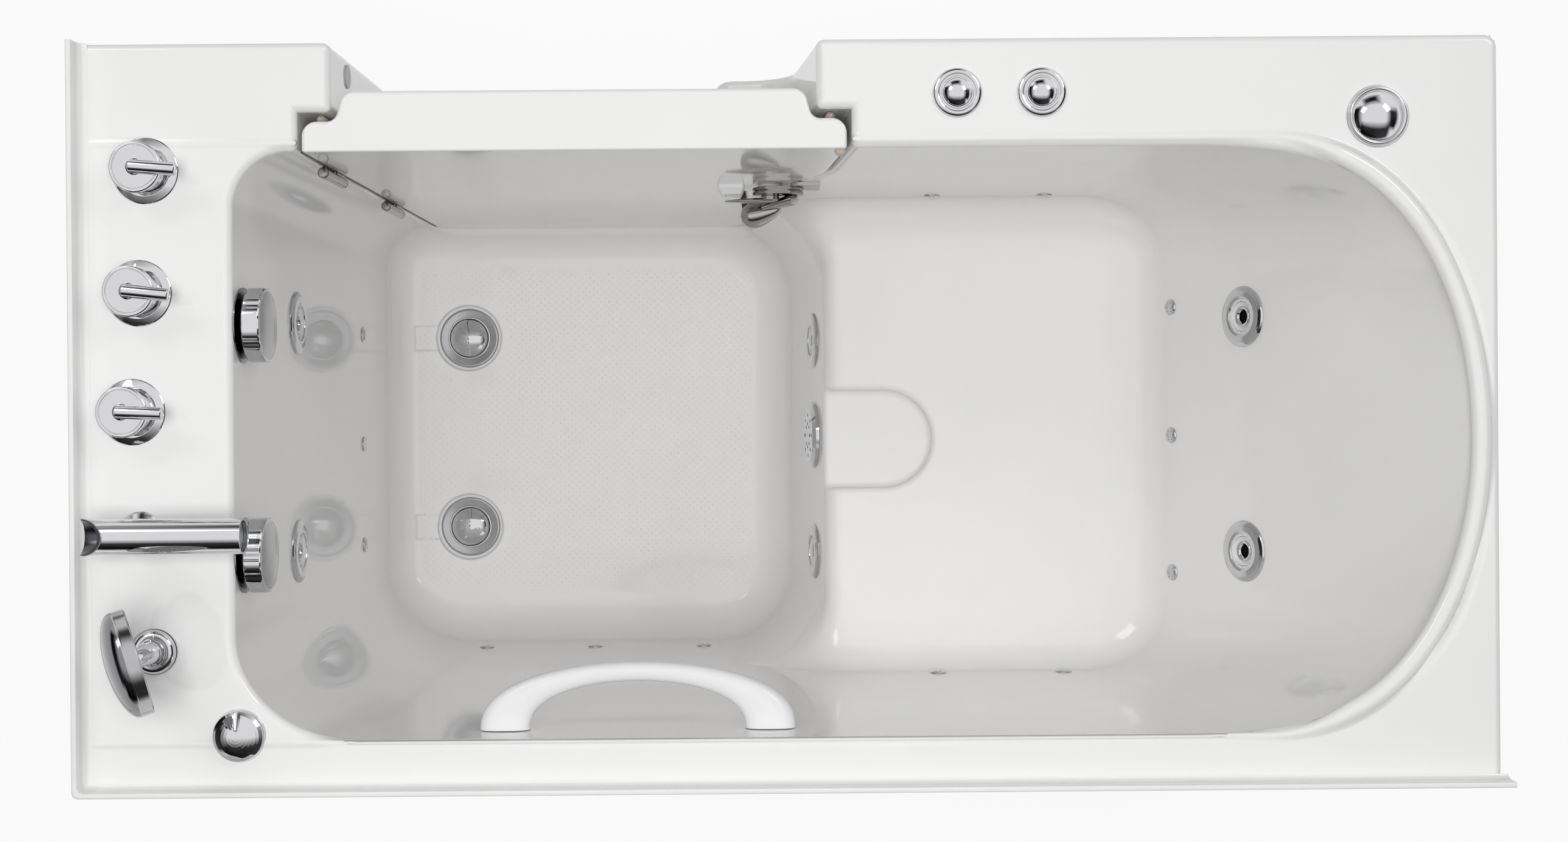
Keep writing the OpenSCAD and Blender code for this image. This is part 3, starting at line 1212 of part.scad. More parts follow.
module deck_cap() color(chrome) translate([cap_x, cap_y, deck_z]) {
    cylinder(h = 2, r = cap_d / 2);
    translate([0, 0, 2 - eps]) domed_cap(cap_d - 5, 2, 13);
    translate([0, 0, -wall - 20]) cylinder(h = wall + 21, r = cap_body_r);
    translate([0, 0, -wall - valve_nut_t]) cylinder(h = valve_nut_t, r = cap_body_r + 6, $fn = 6);
}

tub_shell();
support_frame();
equipment_board();
leveling_feet();
apron_panels();
door_surround_panel();
panel_screws();
hinge_frame_leaves();
latch_keeper();
jamb_cap();
grab_bar();
valve_escutcheons();
valve_bodies();
supply_pipes();
spout_base();
spout_tube();
shower_holder();
overflow_plates();
overflow_elbows();
drain_cables();
drain_flanges();
waste_pipes();
jet_rings();
jet_bodies();
suction_cover();
pump_pipes();
air_jets();
air_pipes();
pump_wet_end();
pump_motor();
air_blower();
control_box();
button_bezels();
air_control_base();
deck_cap();
door_outer_skin();
door_inner_skin();
door_gasket();
hinge_door_leaves();
hinge_pins();
latch_base();
latch_lever();
tap_knob(0);  // hot_tap_knob
tap_knob(1);  // cold_tap_knob
tap_knob(2);  // diverter_knob
overflow_knob(0);  // overflow_knob_front
overflow_knob(1);  // overflow_knob_back
drain_plug(0);  // drain_plug_front
drain_plug(1);  // drain_plug_back
hand_shower_body();
hand_shower_face();
push_button(button_x[0]);  // pump_button
push_button(button_x[1]);  // air_button
air_control_knob();
nozzle_foot(0);  // jet_nozzle_foot_front
nozzle_foot(1);  // jet_nozzle_foot_back
nozzle_seat(0);  // jet_nozzle_seat_front
nozzle_seat(1);  // jet_nozzle_seat_back
nozzle_rest(0);  // jet_nozzle_rest_front
nozzle_rest(1);  // jet_nozzle_rest_back
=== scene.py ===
import math

import bmesh
import bpy
import numpy as np
from mathutils import Matrix, Vector

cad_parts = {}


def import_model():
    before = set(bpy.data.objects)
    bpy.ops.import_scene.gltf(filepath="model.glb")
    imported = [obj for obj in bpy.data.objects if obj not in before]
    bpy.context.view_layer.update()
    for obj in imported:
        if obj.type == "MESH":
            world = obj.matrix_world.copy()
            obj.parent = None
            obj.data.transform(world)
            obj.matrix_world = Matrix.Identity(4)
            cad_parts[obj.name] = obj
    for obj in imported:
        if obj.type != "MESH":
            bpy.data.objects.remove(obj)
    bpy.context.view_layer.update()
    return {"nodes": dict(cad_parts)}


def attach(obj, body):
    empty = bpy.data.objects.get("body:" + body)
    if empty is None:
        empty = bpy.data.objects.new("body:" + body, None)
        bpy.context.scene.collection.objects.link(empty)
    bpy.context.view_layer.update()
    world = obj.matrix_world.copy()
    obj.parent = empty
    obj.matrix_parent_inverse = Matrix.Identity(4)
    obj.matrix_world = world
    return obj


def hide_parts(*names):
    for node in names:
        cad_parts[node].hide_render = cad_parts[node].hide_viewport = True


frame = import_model()
nodes = frame["nodes"]
scene = bpy.context.scene
MM = 0.001

# ---- sizes, in millimetres
X_MIN, X_MAX, Y_MIN, Y_MAX = -762.0, 762.0, -400.0, 400.0
DECK_X0, DECK_Z, WALL = -756.0, 965.0, 6.0
UNDER_DECK, LIP_BOTTOM, FLANGE_TOP = 959.0, 915.0, 990.0
BASIN_X0, BASIN_X1, BASIN_Y0, BASIN_Y1 = -740.0, 596.0, -284.0, 345.0
SEAT_Z, FLOOR_Z, FLOOR_H = 432.0, 65.0, 65.0
SEAT_FRONT_X, REST_FOOT_X = -50.0, -467.0
SHOULDER_Y, SWING_Y = -326.0, -262.0
DOOR_Y1, FLANGE_Y0, DOOR_Y0 = -283.0, -316.0, -348.0
RECESS_X1 = 526.0
DRAINS = [(484.5, -120.0), (484.5, 167.0)]

# ---- camera
FOCAL_PX, FRAME_W, SENSOR = 3237.70, 2576.0, 36.0
CAMERA_AT = Vector((14.23, 0.95, 3065.0)) * MM
ROLL, TURN_X, TURN_Y = -0.007635, 0.002963, -0.002811


def linked(name, data):
    obj = bpy.data.objects.new(name, data)
    scene.collection.objects.link(obj)
    return obj


def photo_camera():
    """The camera above the tub, fitted to the photo."""
    down = Matrix(((-1, 0, 0), (0, 1, 0), (0, 0, -1)))
    rows = (Matrix.Rotation(ROLL, 3, "Z") @ Matrix.Rotation(TURN_X, 3, "X")
            @ Matrix.Rotation(TURN_Y, 3, "Y") @ down)
    axes = Matrix((rows[0], -rows[1], -rows[2])).transposed()
    data = bpy.data.cameras.new("photo_camera")
    data.sensor_width = SENSOR
    data.lens = FOCAL_PX / FRAME_W * SENSOR
    data.clip_end = 100.0
    scene.camera = linked("photo_camera", data)
    scene.camera.matrix_world = Matrix.Translation(CAMERA_AT) @ axes.to_4x4()


photo_camera()


# ---- materials
def fill(tree, node, inputs):
    """Gives each input its value, or a link where the value is a socket."""
    for key, value in inputs.items():
        if isinstance(value, bpy.types.NodeSocket):
            tree.links.new(value, node.inputs[key])
        else:
            node.inputs[key].default_value = value


def add(tree, kind, inputs):
    node = tree.nodes.new("ShaderNode" + kind)
    fill(tree, node, inputs)
    return node


def maths(tree, kind, a, b=None):
    node = add(tree, "Math", {0: a} if b is None else {0: a, 1: b})
    node.operation = kind
    return node.outputs[0]


def ramp(tree, fac, low, high, start=0.0, end=1.0):
    """A colour that goes from low to high while fac goes from start to end."""
    node = add(tree, "ValToRGB", {"Fac": fac})
    for i, (at, color) in enumerate(((start, low), (end, high))):
        stop = node.color_ramp.elements[i]
        stop.position, stop.color = at, (*color, 1)
    return node.outputs["Color"]


def relief(tree, shader, height, distance):
    """Adds a bump to the shader, over the bump that it already has."""
    bump = add(tree, "Bump", {"Strength": 1.0, "Distance": distance, "Height": height})
    for old in shader.inputs["Normal"].links:
        tree.links.new(old.from_socket, bump.inputs["Normal"])
    tree.links.new(bump.outputs["Normal"], shader.inputs["Normal"])


def node_material(name, color, rough, metallic, spread, grain, rough_spread, bump=0.0,
                  bump_scale=300.0, stretch=(1, 1, 1), ior=1.5, coat=0.0, extra=None):
    """A Principled material with colour, roughness and bump from noise in object coordinates."""
    mat = bpy.data.materials.new(name)
    mat.use_nodes = True
    tree = mat.node_tree
    shader = tree.nodes["Principled BSDF"]
    coords = add(tree, "TexCoord", {}).outputs["Object"]
    at = add(tree, "Mapping", {"Scale": stretch, "Vector": coords}).outputs["Vector"]
    noise = add(tree, "TexNoise", {"Scale": grain, "Detail": 4.0, "Vector": at}).outputs["Fac"]
    low, high = ([c * (1 + s) for c in color] for s in (-spread, spread))
    between = add(tree, "MapRange", {"Value": noise, "To Min": max(rough - rough_spread / 2, 0.01),
                                     "To Max": rough + rough_spread / 2})
    fill(tree, shader, {"Metallic": metallic, "IOR": ior, "Coat Weight": coat,
                        "Coat Roughness": 0.04, "Roughness": between.outputs["Result"],
                        "Base Color": ramp(tree, noise, low, high, 0.35, 0.65)})
    if bump:
        fine = add(tree, "TexNoise", {"Scale": bump_scale, "Detail": 3.0, "Vector": at})
        relief(tree, shader, fine.outputs["Fac"], bump * MM)
    if extra:
        extra(tree, shader, coords)
    return mat


# Tread, in metres: pitch, middle and half width along x and y; the top of the floor that has it;
# the square of the radius left plain around a drain; the height of a dash.
TREAD = ((0.0115, 0.308, 0.262), (0.0105, 0.018, 0.252))
TREAD_TOP, DRAIN_CLEAR, DASH_HEIGHT = 0.072, 0.0038, 0.0007


def tread(tree, shader, coords):
    """A lattice of small raised dashes on the floor of the foot well."""
    def do(*what):
        return maths(tree, *what)
    x, y, z = add(tree, "SeparateXYZ", {0: coords}).outputs
    waves, insets = [], []
    for along, (pitch, middle, half) in zip((x, y), TREAD):
        waves.append(do("COSINE", do("MULTIPLY", along, 2 * math.pi / pitch)))
        insets.append(do("SUBTRACT", half, do("ABSOLUTE", do("SUBTRACT", along, middle))))
    cells = do("MAXIMUM", do("SUBTRACT", do("MULTIPLY", *waves), 0.35), 0.0)
    area = do("MULTIPLY", do("MINIMUM", *insets), 60.0)
    area = do("MINIMUM", do("MAXIMUM", area, 0.0), 1.0)
    mask = do("MULTIPLY", area, do("LESS_THAN", z, TREAD_TOP))
    for drain in DRAINS:
        away = [do("SUBTRACT", along, c * MM) for along, c in zip((x, y), drain)]
        r2 = do("ADD", *(do("MULTIPLY", d, d) for d in away))
        mask = do("MULTIPLY", mask, do("GREATER_THAN", r2, DRAIN_CLEAR))
    relief(tree, shader, do("MULTIPLY", cells, mask), DASH_HEIGHT)


def wood_grain(tree, shader, coords):
    wave = add(tree, "TexWave", {"Scale": 6.0, "Distortion": 5.0, "Detail": 3.0, "Vector": coords})
    color = ramp(tree, wave.outputs["Fac"], (0.40, 0.26, 0.13), (0.56, 0.39, 0.21))
    tree.links.new(color, shader.inputs["Base Color"])


# Name, colour, roughness, metallic, spread of the colour, grain, spread of the roughness, and
# where there is a bump its height in millimetres and its grain.
LOOKS = {
    "acrylic": ("acrylic_white", (0.868, 0.863, 0.858), 0.07, 0, 0.006, 9, 0.03, 0.02, 60),
    "fibreglass": ("fibreglass_back", (0.72, 0.72, 0.68), 0.55, 0, 0.10, 55, 0.2, 0.9, 160),
    "panel": ("panel_white", (0.82, 0.82, 0.83), 0.12, 0, 0.006, 9, 0.04, 0.03, 50),
    "bar": ("bar_white", (0.84, 0.84, 0.85), 0.22, 0, 0.006, 30, 0.05, 0.02, 400),
    "chrome": ("chrome", (0.66, 0.66, 0.675), 0.05, 1, 0.012, 30, 0.03),
    "steel": ("brushed_steel", (0.58, 0.57, 0.56), 0.28, 1, 0.05, 80, 0.14, 0.03, 300),
    "frame": ("frame_steel", (0.42, 0.43, 0.44), 0.38, 1, 0.12, 28, 0.18, 0.05, 180),
    "dark": ("dark_plastic", (0.03, 0.03, 0.033), 0.35, 0, 0.15, 120, 0.12, 0.04, 500),
    # black_hole: black standing in for the shade deep in holes and gaps, painted shade; also a thin
    # black band round the shower cradle.
    "black": ("black_hole", (0.008, 0.008, 0.009), 0.5, 0, 0.2, 90, 0.1, 0.03, 400),
    "rubber": ("gasket_rubber", (0.58, 0.50, 0.44), 0.45, 0, 0.05, 90, 0.1, 0.04, 500),
    "grey": ("grey_plastic", (0.36, 0.37, 0.38), 0.3, 0, 0.05, 80, 0.1, 0.03, 450),
    "white_plastic": ("white_plastic", (0.78, 0.78, 0.78), 0.2, 0, 0.01, 60, 0.06, 0.02, 400),
    "jet_trim": ("jet_trim", (0.64, 0.64, 0.65), 0.09, 1, 0.015, 50, 0.04),
    "keeper": ("keeper_plastic", (0.54, 0.535, 0.53), 0.3, 0, 0.02, 60, 0.06, 0.02, 400),
    # Dark colour of the strip in the gap beside the hinges: painted shade.
    "seam": ("painted_gap_shade", (0.075, 0.068, 0.062), 0.4, 0, 0.08, 90, 0.1, 0.03, 500),
    "hinge": ("hinge_steel", (0.33, 0.32, 0.315), 0.12, 1, 0.04, 60, 0.08),
    "grip": ("grip_chrome", (0.47, 0.455, 0.445), 0.16, 1, 0.03, 50, 0.05),
    "satin": ("satin_chrome", (0.46, 0.46, 0.47), 0.16, 1, 0.03, 60, 0.08),
    "copper": ("copper_pipe", (0.62, 0.27, 0.14), 0.3, 1, 0.18, 30, 0.2, 0.03, 200),
    "brass": ("valve_brass", (0.62, 0.44, 0.18), 0.32, 1, 0.1, 45, 0.16, 0.06, 220),
    "pipe": ("pipe_white", (0.76, 0.76, 0.74), 0.32, 0, 0.03, 25, 0.1, 0.03, 150),
    "blue": ("motor_blue", (0.04, 0.12, 0.30), 0.35, 0, 0.1, 60, 0.14, 0.08, 260),
    "box": ("box_grey", (0.42, 0.43, 0.44), 0.5, 0, 0.05, 90, 0.1, 0.06, 420),
    "black_chrome": ("black_chrome", (0.10, 0.10, 0.11), 0.25, 1, 0.05, 40, 0.1),
    "dark_chrome": ("dark_chrome", (0.24, 0.24, 0.25), 0.08, 1, 0.02, 30, 0.04),
    "spun": ("spun_chrome", (0.50, 0.50, 0.515), 0.2, 1, 0.03, 60, 0.1, 0.01, 200),
    "wood": ("board_wood", (0.5, 0.35, 0.2), 0.6, 0, 0.1, 30, 0.12, 0.15, 90)}
MORE = {"acrylic": dict(ior=1.49, coat=0.3, extra=tread), "panel": dict(ior=1.49, coat=0.2),
        "steel": dict(stretch=(1, 1, 12)), "hinge": dict(stretch=(1, 1, 6)),
        "wood": dict(stretch=(1, 8, 8), extra=wood_grain)}
M = {key: node_material(*row, **MORE.get(key, {})) for key, row in LOOKS.items()}


# ---- signed distances
def rounded(a, b, r):
    """Intersection of two distances with a rounding of radius r."""
    u = np.maximum(a + r, 0)
    v = np.maximum(b + r, 0)
    return np.minimum(np.maximum(a, b), -r) + np.sqrt(u * u + v * v)


def joined(a, b, r):
    return -rounded(-a, -b, r)


def uneven(a, b, w, h):
    """Intersection with an elliptical rounding, w wide along a and h along b."""
    u = np.maximum(a + w, 0) / w
    v = np.maximum(b + h, 0) / h
    s = np.sqrt(u * u + v * v)
    slope = np.sqrt((u / w) ** 2 + (v / h) ** 2) / np.maximum(s, 1e-6)
    curved = (s - 1) / np.maximum(slope, 1e-6)
    return np.where((u > 0) | (v > 0), curved, np.maximum(a, b))


def corner(dx, dy, rx, ry, n):
    """Distance to a superellipse corner; dx and dy are measured from its centre."""
    u = np.maximum(dx, 0) / rx
    v = np.maximum(dy, 0) / ry
    s = np.maximum((u ** n + v ** n) ** (1 / n), 1e-6)
    gx = (u / s) ** (n - 1) / rx
    gy = (v / s) ** (n - 1) / ry
    d = (s - 1) / np.maximum(np.sqrt(gx * gx + gy * gy), 1e-6)
    return np.where((dx > 0) | (dy > 0), np.maximum(d, np.maximum(dx - rx, dy - ry)),
                    np.maximum(dx - rx, dy - ry))


def smooth01(t):
    t = np.clip(t, 0, 1)
    return t * t * (3 - 2 * t)


def bezier(a, b, c, d, n=14):
    t = np.linspace(0, 1, n)[:, None]
    a, b, c, d = map(np.array, (a, b, c, d))
    return (1 - t) ** 3 * a + 3 * (1 - t) ** 2 * t * b + 3 * (1 - t) * t * t * c + t ** 3 * d


def arc(cx, cz, r, a0, a1, n=14):
    a = np.radians(np.linspace(a0, a1, n))
    return np.stack([cx + r * np.cos(a), cz + r * np.sin(a)], 1)


TOP = 1100.0


def doorway_points(g):
    return np.concatenate([
        [[-30 + g, TOP], [-30 + g, DECK_Z]],
        bezier([-8, 780], [-2, 722], [30, 706], [58, 706]) + g,
        bezier([62, 706], [80, 706], [88, 690], [88, 655]) + g,
        arc(128, 174, 40 - g, 180, 270), arc(450, 174, 40 - g, 270, 360),
        [[490 - g, TOP]]])


def recess_points(g):
    return np.concatenate([
        [[-67 + g, TOP], [-67 + g, DECK_Z]],
        bezier([-50, 760], [-43, 705], [-16, 690], [-8, 640]) + [g, 0],
        bezier([-8, 610], [-8, 582], [56, 594], [56, 544]) + g,
        arc(96, 138, 40 - g, 180, 270), arc(486, 138, 40 - g, 270, 360),
        [[RECESS_X1 - g, TOP]]])


def outline_distance(points):
    """Signed distance to a closed outline in XZ, negative inside, for arrays that broadcast."""
    a = points.astype(np.float32)
    b = np.roll(a, -1, 0)

    def distance(x, z):
        shape = np.broadcast(x, z).shape
        best = np.full(shape, 1e9, np.float32)
        inside = np.zeros(shape, bool)
        for (ax, az), (bx, bz) in zip(a, b):
            ex, ez = bx - ax, bz - az
            length = ex * ex + ez * ez
            if length < 1e-9:
                continue
            t = np.clip(((x - ax) * ex + (z - az) * ez) / length, 0, 1)
            best = np.minimum(best, (x - ax - t * ex) ** 2 + (z - az - t * ez) ** 2)
            if az != bz:
                crossing = (az > z) != (bz > z)
                inside ^= crossing & (x < ax + (z - az) * ex / ez)
        return np.where(inside, -1, 1) * np.sqrt(best)
    return distance


doorway_d = outline_distance(doorway_points(0))
recess_d = outline_distance(recess_points(0))


def wall_back_y(z):
    return BASIN_Y1 - 11 * (DECK_Z - z) / 835


def basin_walls(x, y, z):
    """Distance to the walls of the bathing space, without seat and floor."""
    t = np.clip((z - SEAT_Z) / (DECK_Z - SEAT_Z), 0, 1.15)
    x0 = REST_FOOT_X + t * (BASIN_X0 - REST_FOOT_X)
    yb = wall_back_y(z)
    a = 90 + t * 243
    b = 89 + np.minimum(t * t, 1) * 224.5
    n = 2 + 0.8 * t
    dx = x0 + a - x
    return np.maximum(
        np.maximum(corner(dx, BASIN_Y0 + b - y, a, b, n), corner(dx, y - yb + b, a, b, n)),
        np.maximum(corner(x - BASIN_X1 + 60, BASIN_Y0 + 60 - y, 60.0, 60.0, 2.0),
                   corner(x - BASIN_X1 + 133, y - yb + 113, 133.0, 113.0, 2.0)))


HOLLOW_X, HOLLOW_Y, HOLLOW_R, HOLLOW_DEPTH = -125.5, 33.5, 65.5, 22.0


def cavity(x, y, z):
    """The bathing space and the foot well, negative in the air."""
    lean = 45 / 302
    seat = rounded((x - SEAT_FRONT_X - lean * (SEAT_Z - z)) / math.hypot(1, lean),
                   z - SEAT_Z, 22.0)
    r = 110 - 62 * smooth01((z - 380) / 100)
    walls = rounded(basin_walls(x, y, z), -seat, r)
    sides = [(x + 5, 55.0), (BASIN_X1 - x, 35.0), (y - BASIN_Y0, 54.0), (338 - y, 68.0)]
    total = share = 0
    for d, w in sides:
        k = np.exp(-np.maximum(d, 0) / 45) + 1e-6
        total = total + k
        share = share + k * w
    air = uneven(walls, FLOOR_Z - z, share / total, FLOOR_H)
    hollow = np.where(x < HOLLOW_X, np.hypot(x - HOLLOW_X, y - HOLLOW_Y), np.abs(y - HOLLOW_Y))
    hollow = rounded(hollow - HOLLOW_R, SEAT_Z - HOLLOW_DEPTH - z, 9.0)
    hollow = np.maximum(hollow, x - 40)
    air = joined(air, hollow, 8.0)
    for cx, cy in DRAINS:
        pit = rounded(np.hypot(x - cx, y - cy) - 49.5, FLOOR_Z - 8 - z, 4.0)
        groove = np.maximum(np.maximum(np.abs(y - cy) - 18, cx - x), x - 566)
        groove = rounded(groove, FLOOR_Z - 3 - z, 2.5)
        air = joined(air, np.minimum(pit, groove), 3.0)
    return air


def headrest_roll(x, y, z):
    """The raised roll along the rounded seat end, fading out at its ends."""
    ax, by, n = 220.5, 321.0, 2.05
    u = np.maximum(-526 - x, 1e-3) / ax
    v = np.abs(y - 26.5) / by
    s = np.maximum((u ** n + v ** n) ** (1 / n), 1e-3)
    slope = np.sqrt(((u / s) ** (n - 1) / ax) ** 2 + ((v / s) ** (n - 1) / by) ** 2)
    inside = (1 - s) / slope
    fade = smooth01((-508 - x) / 90)
    r = 1.5 + 8.8 * fade
    return np.hypot(inside - r, (z - (964.5 - r + 9.5 * fade)) * (1 + 0.1 * fade)) - r


def openings(x, y, z):
    """The recess that the door closes on and the passage behind it, negative in the air."""
    return (np.maximum(np.maximum(recess_d(x, z), SHOULDER_Y - y), y - SWING_Y),
            np.maximum(doorway_d(x, z), y - SHOULDER_Y - 1))


def tub_solid(x, y, z):
    """The tub as a block with all that is hollowed out of it, negative in the acrylic."""
    recess, passage = openings(x, y, z)
    solid = rounded(-cavity(x, y, z), -recess, 9.0)
    solid = rounded(solid, -passage, 7.0)
    solid = rounded(solid, z - DECK_Z, 10.0)
    solid = joined(solid, headrest_roll(x, y, z), 5.0)
    outside = corner(np.abs(x - 3) - 759 + 14, np.abs(y) - 400 + 14, 14.0, 14.0, 2.0)
    return rounded(solid, outside, 8.0)


def skin_outside(x, y, z):
    """What lies inside the rough back of the shell, negative inside."""
    recess, passage = openings(x, y, z)
    air = np.minimum(np.minimum(cavity(x, y, z), recess), passage)
    return joined(air - WALL, UNDER_DECK - z, 6.0)


def door_solid(x, y, z):
    out = FLANGE_Y0 - y
    flange = rounded(recess_d(x, z) + 5.5, out, 16.0)
    slant = 9 * np.clip(out / 32, -0.3, 1.2)
    hat = rounded(doorway_d(x, z) + 5 + slant, DOOR_Y0 - y, 11.0)
    hat = np.maximum(hat, y + 300)
    body = joined(flange, hat, 8.0)
    body = rounded(body, z - DECK_Z, 5.0)
    return rounded(body, y - DOOR_Y1, 2.5)


# ---- meshes from distances
EDGES = [(o, ax) for ax in range(3) for o in np.ndindex(2, 2, 2) if o[ax] == 0]


def gradient(f, p, eps=0.6):
    g = np.empty_like(p)
    for i in range(3):
        q = p.copy()
        q[:, i] += eps
        up = f(q[:, 0], q[:, 1], q[:, 2])
        q[:, i] -= 2 * eps
        g[:, i] = (up - f(q[:, 0], q[:, 1], q[:, 2])) / (2 * eps)
    return g


def settle(f, p, eps, most):
    """Moves points onto the surface, by no more than `most` at a time."""
    for _ in range(2):
        g = gradient(f, p, eps)
        d = f(p[:, 0], p[:, 1], p[:, 2])
        move = d / np.maximum((g * g).sum(1), 0.05)
        p = p - np.clip(move, -most, most)[:, None] * g
    return p


def surface_net(f, low, high, step, smooth=2, eps=0.6):
    """Quads on the surface where f is 0, one vertex for each cell that the surface crosses."""
    ax = [np.arange(low[i], high[i] + step, step, dtype=np.float32) for i in range(3)]
    v = f(ax[0][:, None, None], ax[1][None, :, None], ax[2][None, None, :]).astype(np.float32)
    neg = v < 0
    count = np.zeros([n - 1 for n in v.shape], np.uint8)
    for i, j, k in np.ndindex(2, 2, 2):
        count += neg[i:i + count.shape[0], j:j + count.shape[1], k:k + count.shape[2]]
    cells = (count > 0) & (count < 8)
    where = np.nonzero(cells)
    index = np.full(cells.shape, -1, np.int32)
    index[where] = np.arange(len(where[0]))
    mid = np.zeros((len(where[0]), 3), np.float32)
    hits = np.zeros(len(where[0]), np.float32)
    for (i, j, k), axis in EDGES:
        o = [i, j, k]
        a = v[where[0] + i, where[1] + j, where[2] + k]
        e = list(o)
        e[axis] += 1
        b = v[where[0] + e[0], where[1] + e[1], where[2] + e[2]]
        m = (a < 0) != (b < 0)
        t = np.where(m, a / np.where(m, a - b, 1), 0)
        for c in range(3):
            mid[:, c] += np.where(m, o[c] + (t if c == axis else 0), 0)
        hits += m
    p = mid / hits[:, None] + np.stack(where, 1)
    p = p * step + np.array(low)
    quads = []
    for axis in range(3):
        b, c = (axis + 1) % 3, (axis + 2) % 3
        first = [slice(None)] * 3
        second = [slice(None)] * 3
        first[axis], second[axis] = slice(0, -1), slice(1, None)
        change = np.nonzero(neg[tuple(first)] != neg[tuple(second)])
        keep = ((change[b] > 0) & (change[b] < v.shape[b] - 1)
                & (change[c] > 0) & (change[c] < v.shape[c] - 1))
        at = [w[keep] for w in change]
        inward = neg[at[0], at[1], at[2]]
        ring = []
        for db, dc in ((1, 1), (0, 1), (0, 0), (1, 0)):
            q = [w.copy() for w in at]
            q[b] -= db
            q[c] -= dc
            ring.append(index[q[0], q[1], q[2]])
        quad = np.stack(ring, 1)
        quad[~inward] = quad[~inward][:, ::-1]
        quads.append(quad)
    quads = np.concatenate(quads)
    p = settle(f, p.astype(np.float64), eps, step)
    pairs = np.concatenate([quads[:, [i, (i + 1) % 4]] for i in range(4)])
    for _ in range(smooth):
        total = np.zeros_like(p)
        number = np.zeros(len(p))
        for s, e in ((0, 1), (1, 0)):
            for c in range(3):
                total[:, c] += np.bincount(pairs[:, s], p[pairs[:, e], c], len(p))
            number += np.bincount(pairs[:, s], minlength=len(p))
        p = 0.45 * p + 0.55 * total / np.maximum(number, 1)[:, None]
        p = settle(f, p, eps, step / 2)
    g = gradient(f, p, eps)
    normal = g / np.maximum(np.linalg.norm(g, axis=1), 1e-6)[:, None]
    return p, quads, normal


def refined(f, p, quads, normal, turn, step, eps=0.6):
    """Splits the quads over which the surface turns by more than `turn` degrees into four."""
    nq = normal[quads]
    bend = np.min(np.einsum("fic,fic->fi", nq, np.roll(nq, 1, 1)), axis=1)
    for i in (0, 1):
        bend = np.minimum(bend, np.einsum("fc,fc->f", nq[:, i], nq[:, i + 2]))
    near = np.zeros(len(p), bool)
    near[quads[bend < math.cos(math.radians(turn))]] = True
    chosen = near[quads].any(1)
    q = quads[chosen]
    sides = np.sort(np.stack([q, np.roll(q, -1, 1)], 2).reshape(-1, 2), axis=1)
    key = sides[:, 0].astype(np.int64) * len(p) + sides[:, 1]
    edge, back, number = np.unique(key, return_inverse=True, return_counts=True)
    ends = np.stack([edge // len(p), edge % len(p)], 1)
    mids = p[ends].mean(1)
    centres = p[q].mean(1)
    free = number == 2
    mids[free] = settle(f, mids[free], eps, step)
    centres = settle(f, centres, eps, step)
    added = np.concatenate([mids, centres])
    g = gradient(f, added, eps)
    g /= np.maximum(np.linalg.norm(g, axis=1), 1e-6)[:, None]
    g[:len(mids)][~free] = normal[ends[~free]].mean(1)
    m = len(p) + back.reshape(-1, 4)
    c = len(p) + len(mids) + np.arange(len(q))
    split = [np.stack([q[:, i], m[:, i], c, m[:, i - 1]], 1) for i in range(4)]
    return (np.concatenate([p, added]), np.concatenate([quads[~chosen], *split]),
            np.concatenate([normal, g]))


def mesh_object(name, verts, quads, material, normals):
    """A mesh from millimetres, with a normal for each vertex."""
    used, quads = np.unique(quads, return_inverse=True)
    me = bpy.data.meshes.new(name)
    me.vertices.add(len(used))
    me.vertices.foreach_set("co", (verts[used] * MM).astype(np.float32).ravel())
    me.loops.add(quads.size)
    me.loops.foreach_set("vertex_index", quads.astype(np.int32).ravel())
    me.polygons.add(quads.size // 4)
    me.polygons.foreach_set("loop_start", np.arange(0, quads.size, 4, dtype=np.int32))
    me.update(calc_edges=True)
    me.validate()
    me.polygons.foreach_set("use_smooth", [True] * len(me.polygons))
    me.normals_split_custom_set_from_vertices(normals[used].tolist())
    me.materials.append(material)
    return linked(name, me)


def place(obj, body, slot, *replaced):
    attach(obj, body)
    if replaced:
        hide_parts(*replaced)
    return obj


# ---- tub and door
STEP, DOOR_STEP = ((6.0, 4.0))
JET_HOLE_R, JET_HOLE_DEPTH = 21, 15


def without_jet_holes(p, q):
    """The quads that no jet passes through; the jets' trims and bodies hide the ragged edges."""
    c = p[q].mean(1)
    for at in sum(JETS.values(), []):
        local = (c - np.array(at.translation)) @ np.array(at.to_3x3())
        hole = np.hypot(local[:, 0], local[:, 1]) < JET_HOLE_R
        hole &= np.abs(local[:, 2]) < JET_HOLE_DEPTH
        q, c = q[~hole], c[~hole]
    return q


def tub():
    p, q, n = surface_net(tub_solid, (-765, -409, 47), (774, 409, 985), STEP)
    # below the deck, the block's own sides go, but for the lips and the rim of the doorway
    x, y, z = p[q].mean(1).T
    back = (y > 392) | (x > 753)
    front = (y < -395) | (x < -751)
    rim = (y < -395) & (doorway_d(x, z) < 22)
    q = q[~((back & (z < DECK_Z - 0.5)) | (front & (z < LIP_BOTTOM) & ~rim))]
    p, q, n = refined(tub_solid, p, q, n, 9, STEP)
    p, q, n = refined(tub_solid, p, q, n, 16, STEP / 2)
    q = without_jet_holes(p, q)
    seat = p[q].mean(1)[:, 0] < -20
    for part, name in ((seat, "tub_seat_skin"), (~seat, "tub_well_skin")):
        place(mesh_object(name, p, q[part], M["acrylic"], n), "tub", "acrylic_white", "tub_shell")
    p, q, n = surface_net(skin_outside, (-749, -393, 47), (755, 393, 975), STEP * 2, 1, 2.0)
    back = mesh_object("tub_shell_back", p, without_jet_holes(p, q), M["fibreglass"], n)
    place(back, "tub", "acrylic_white")


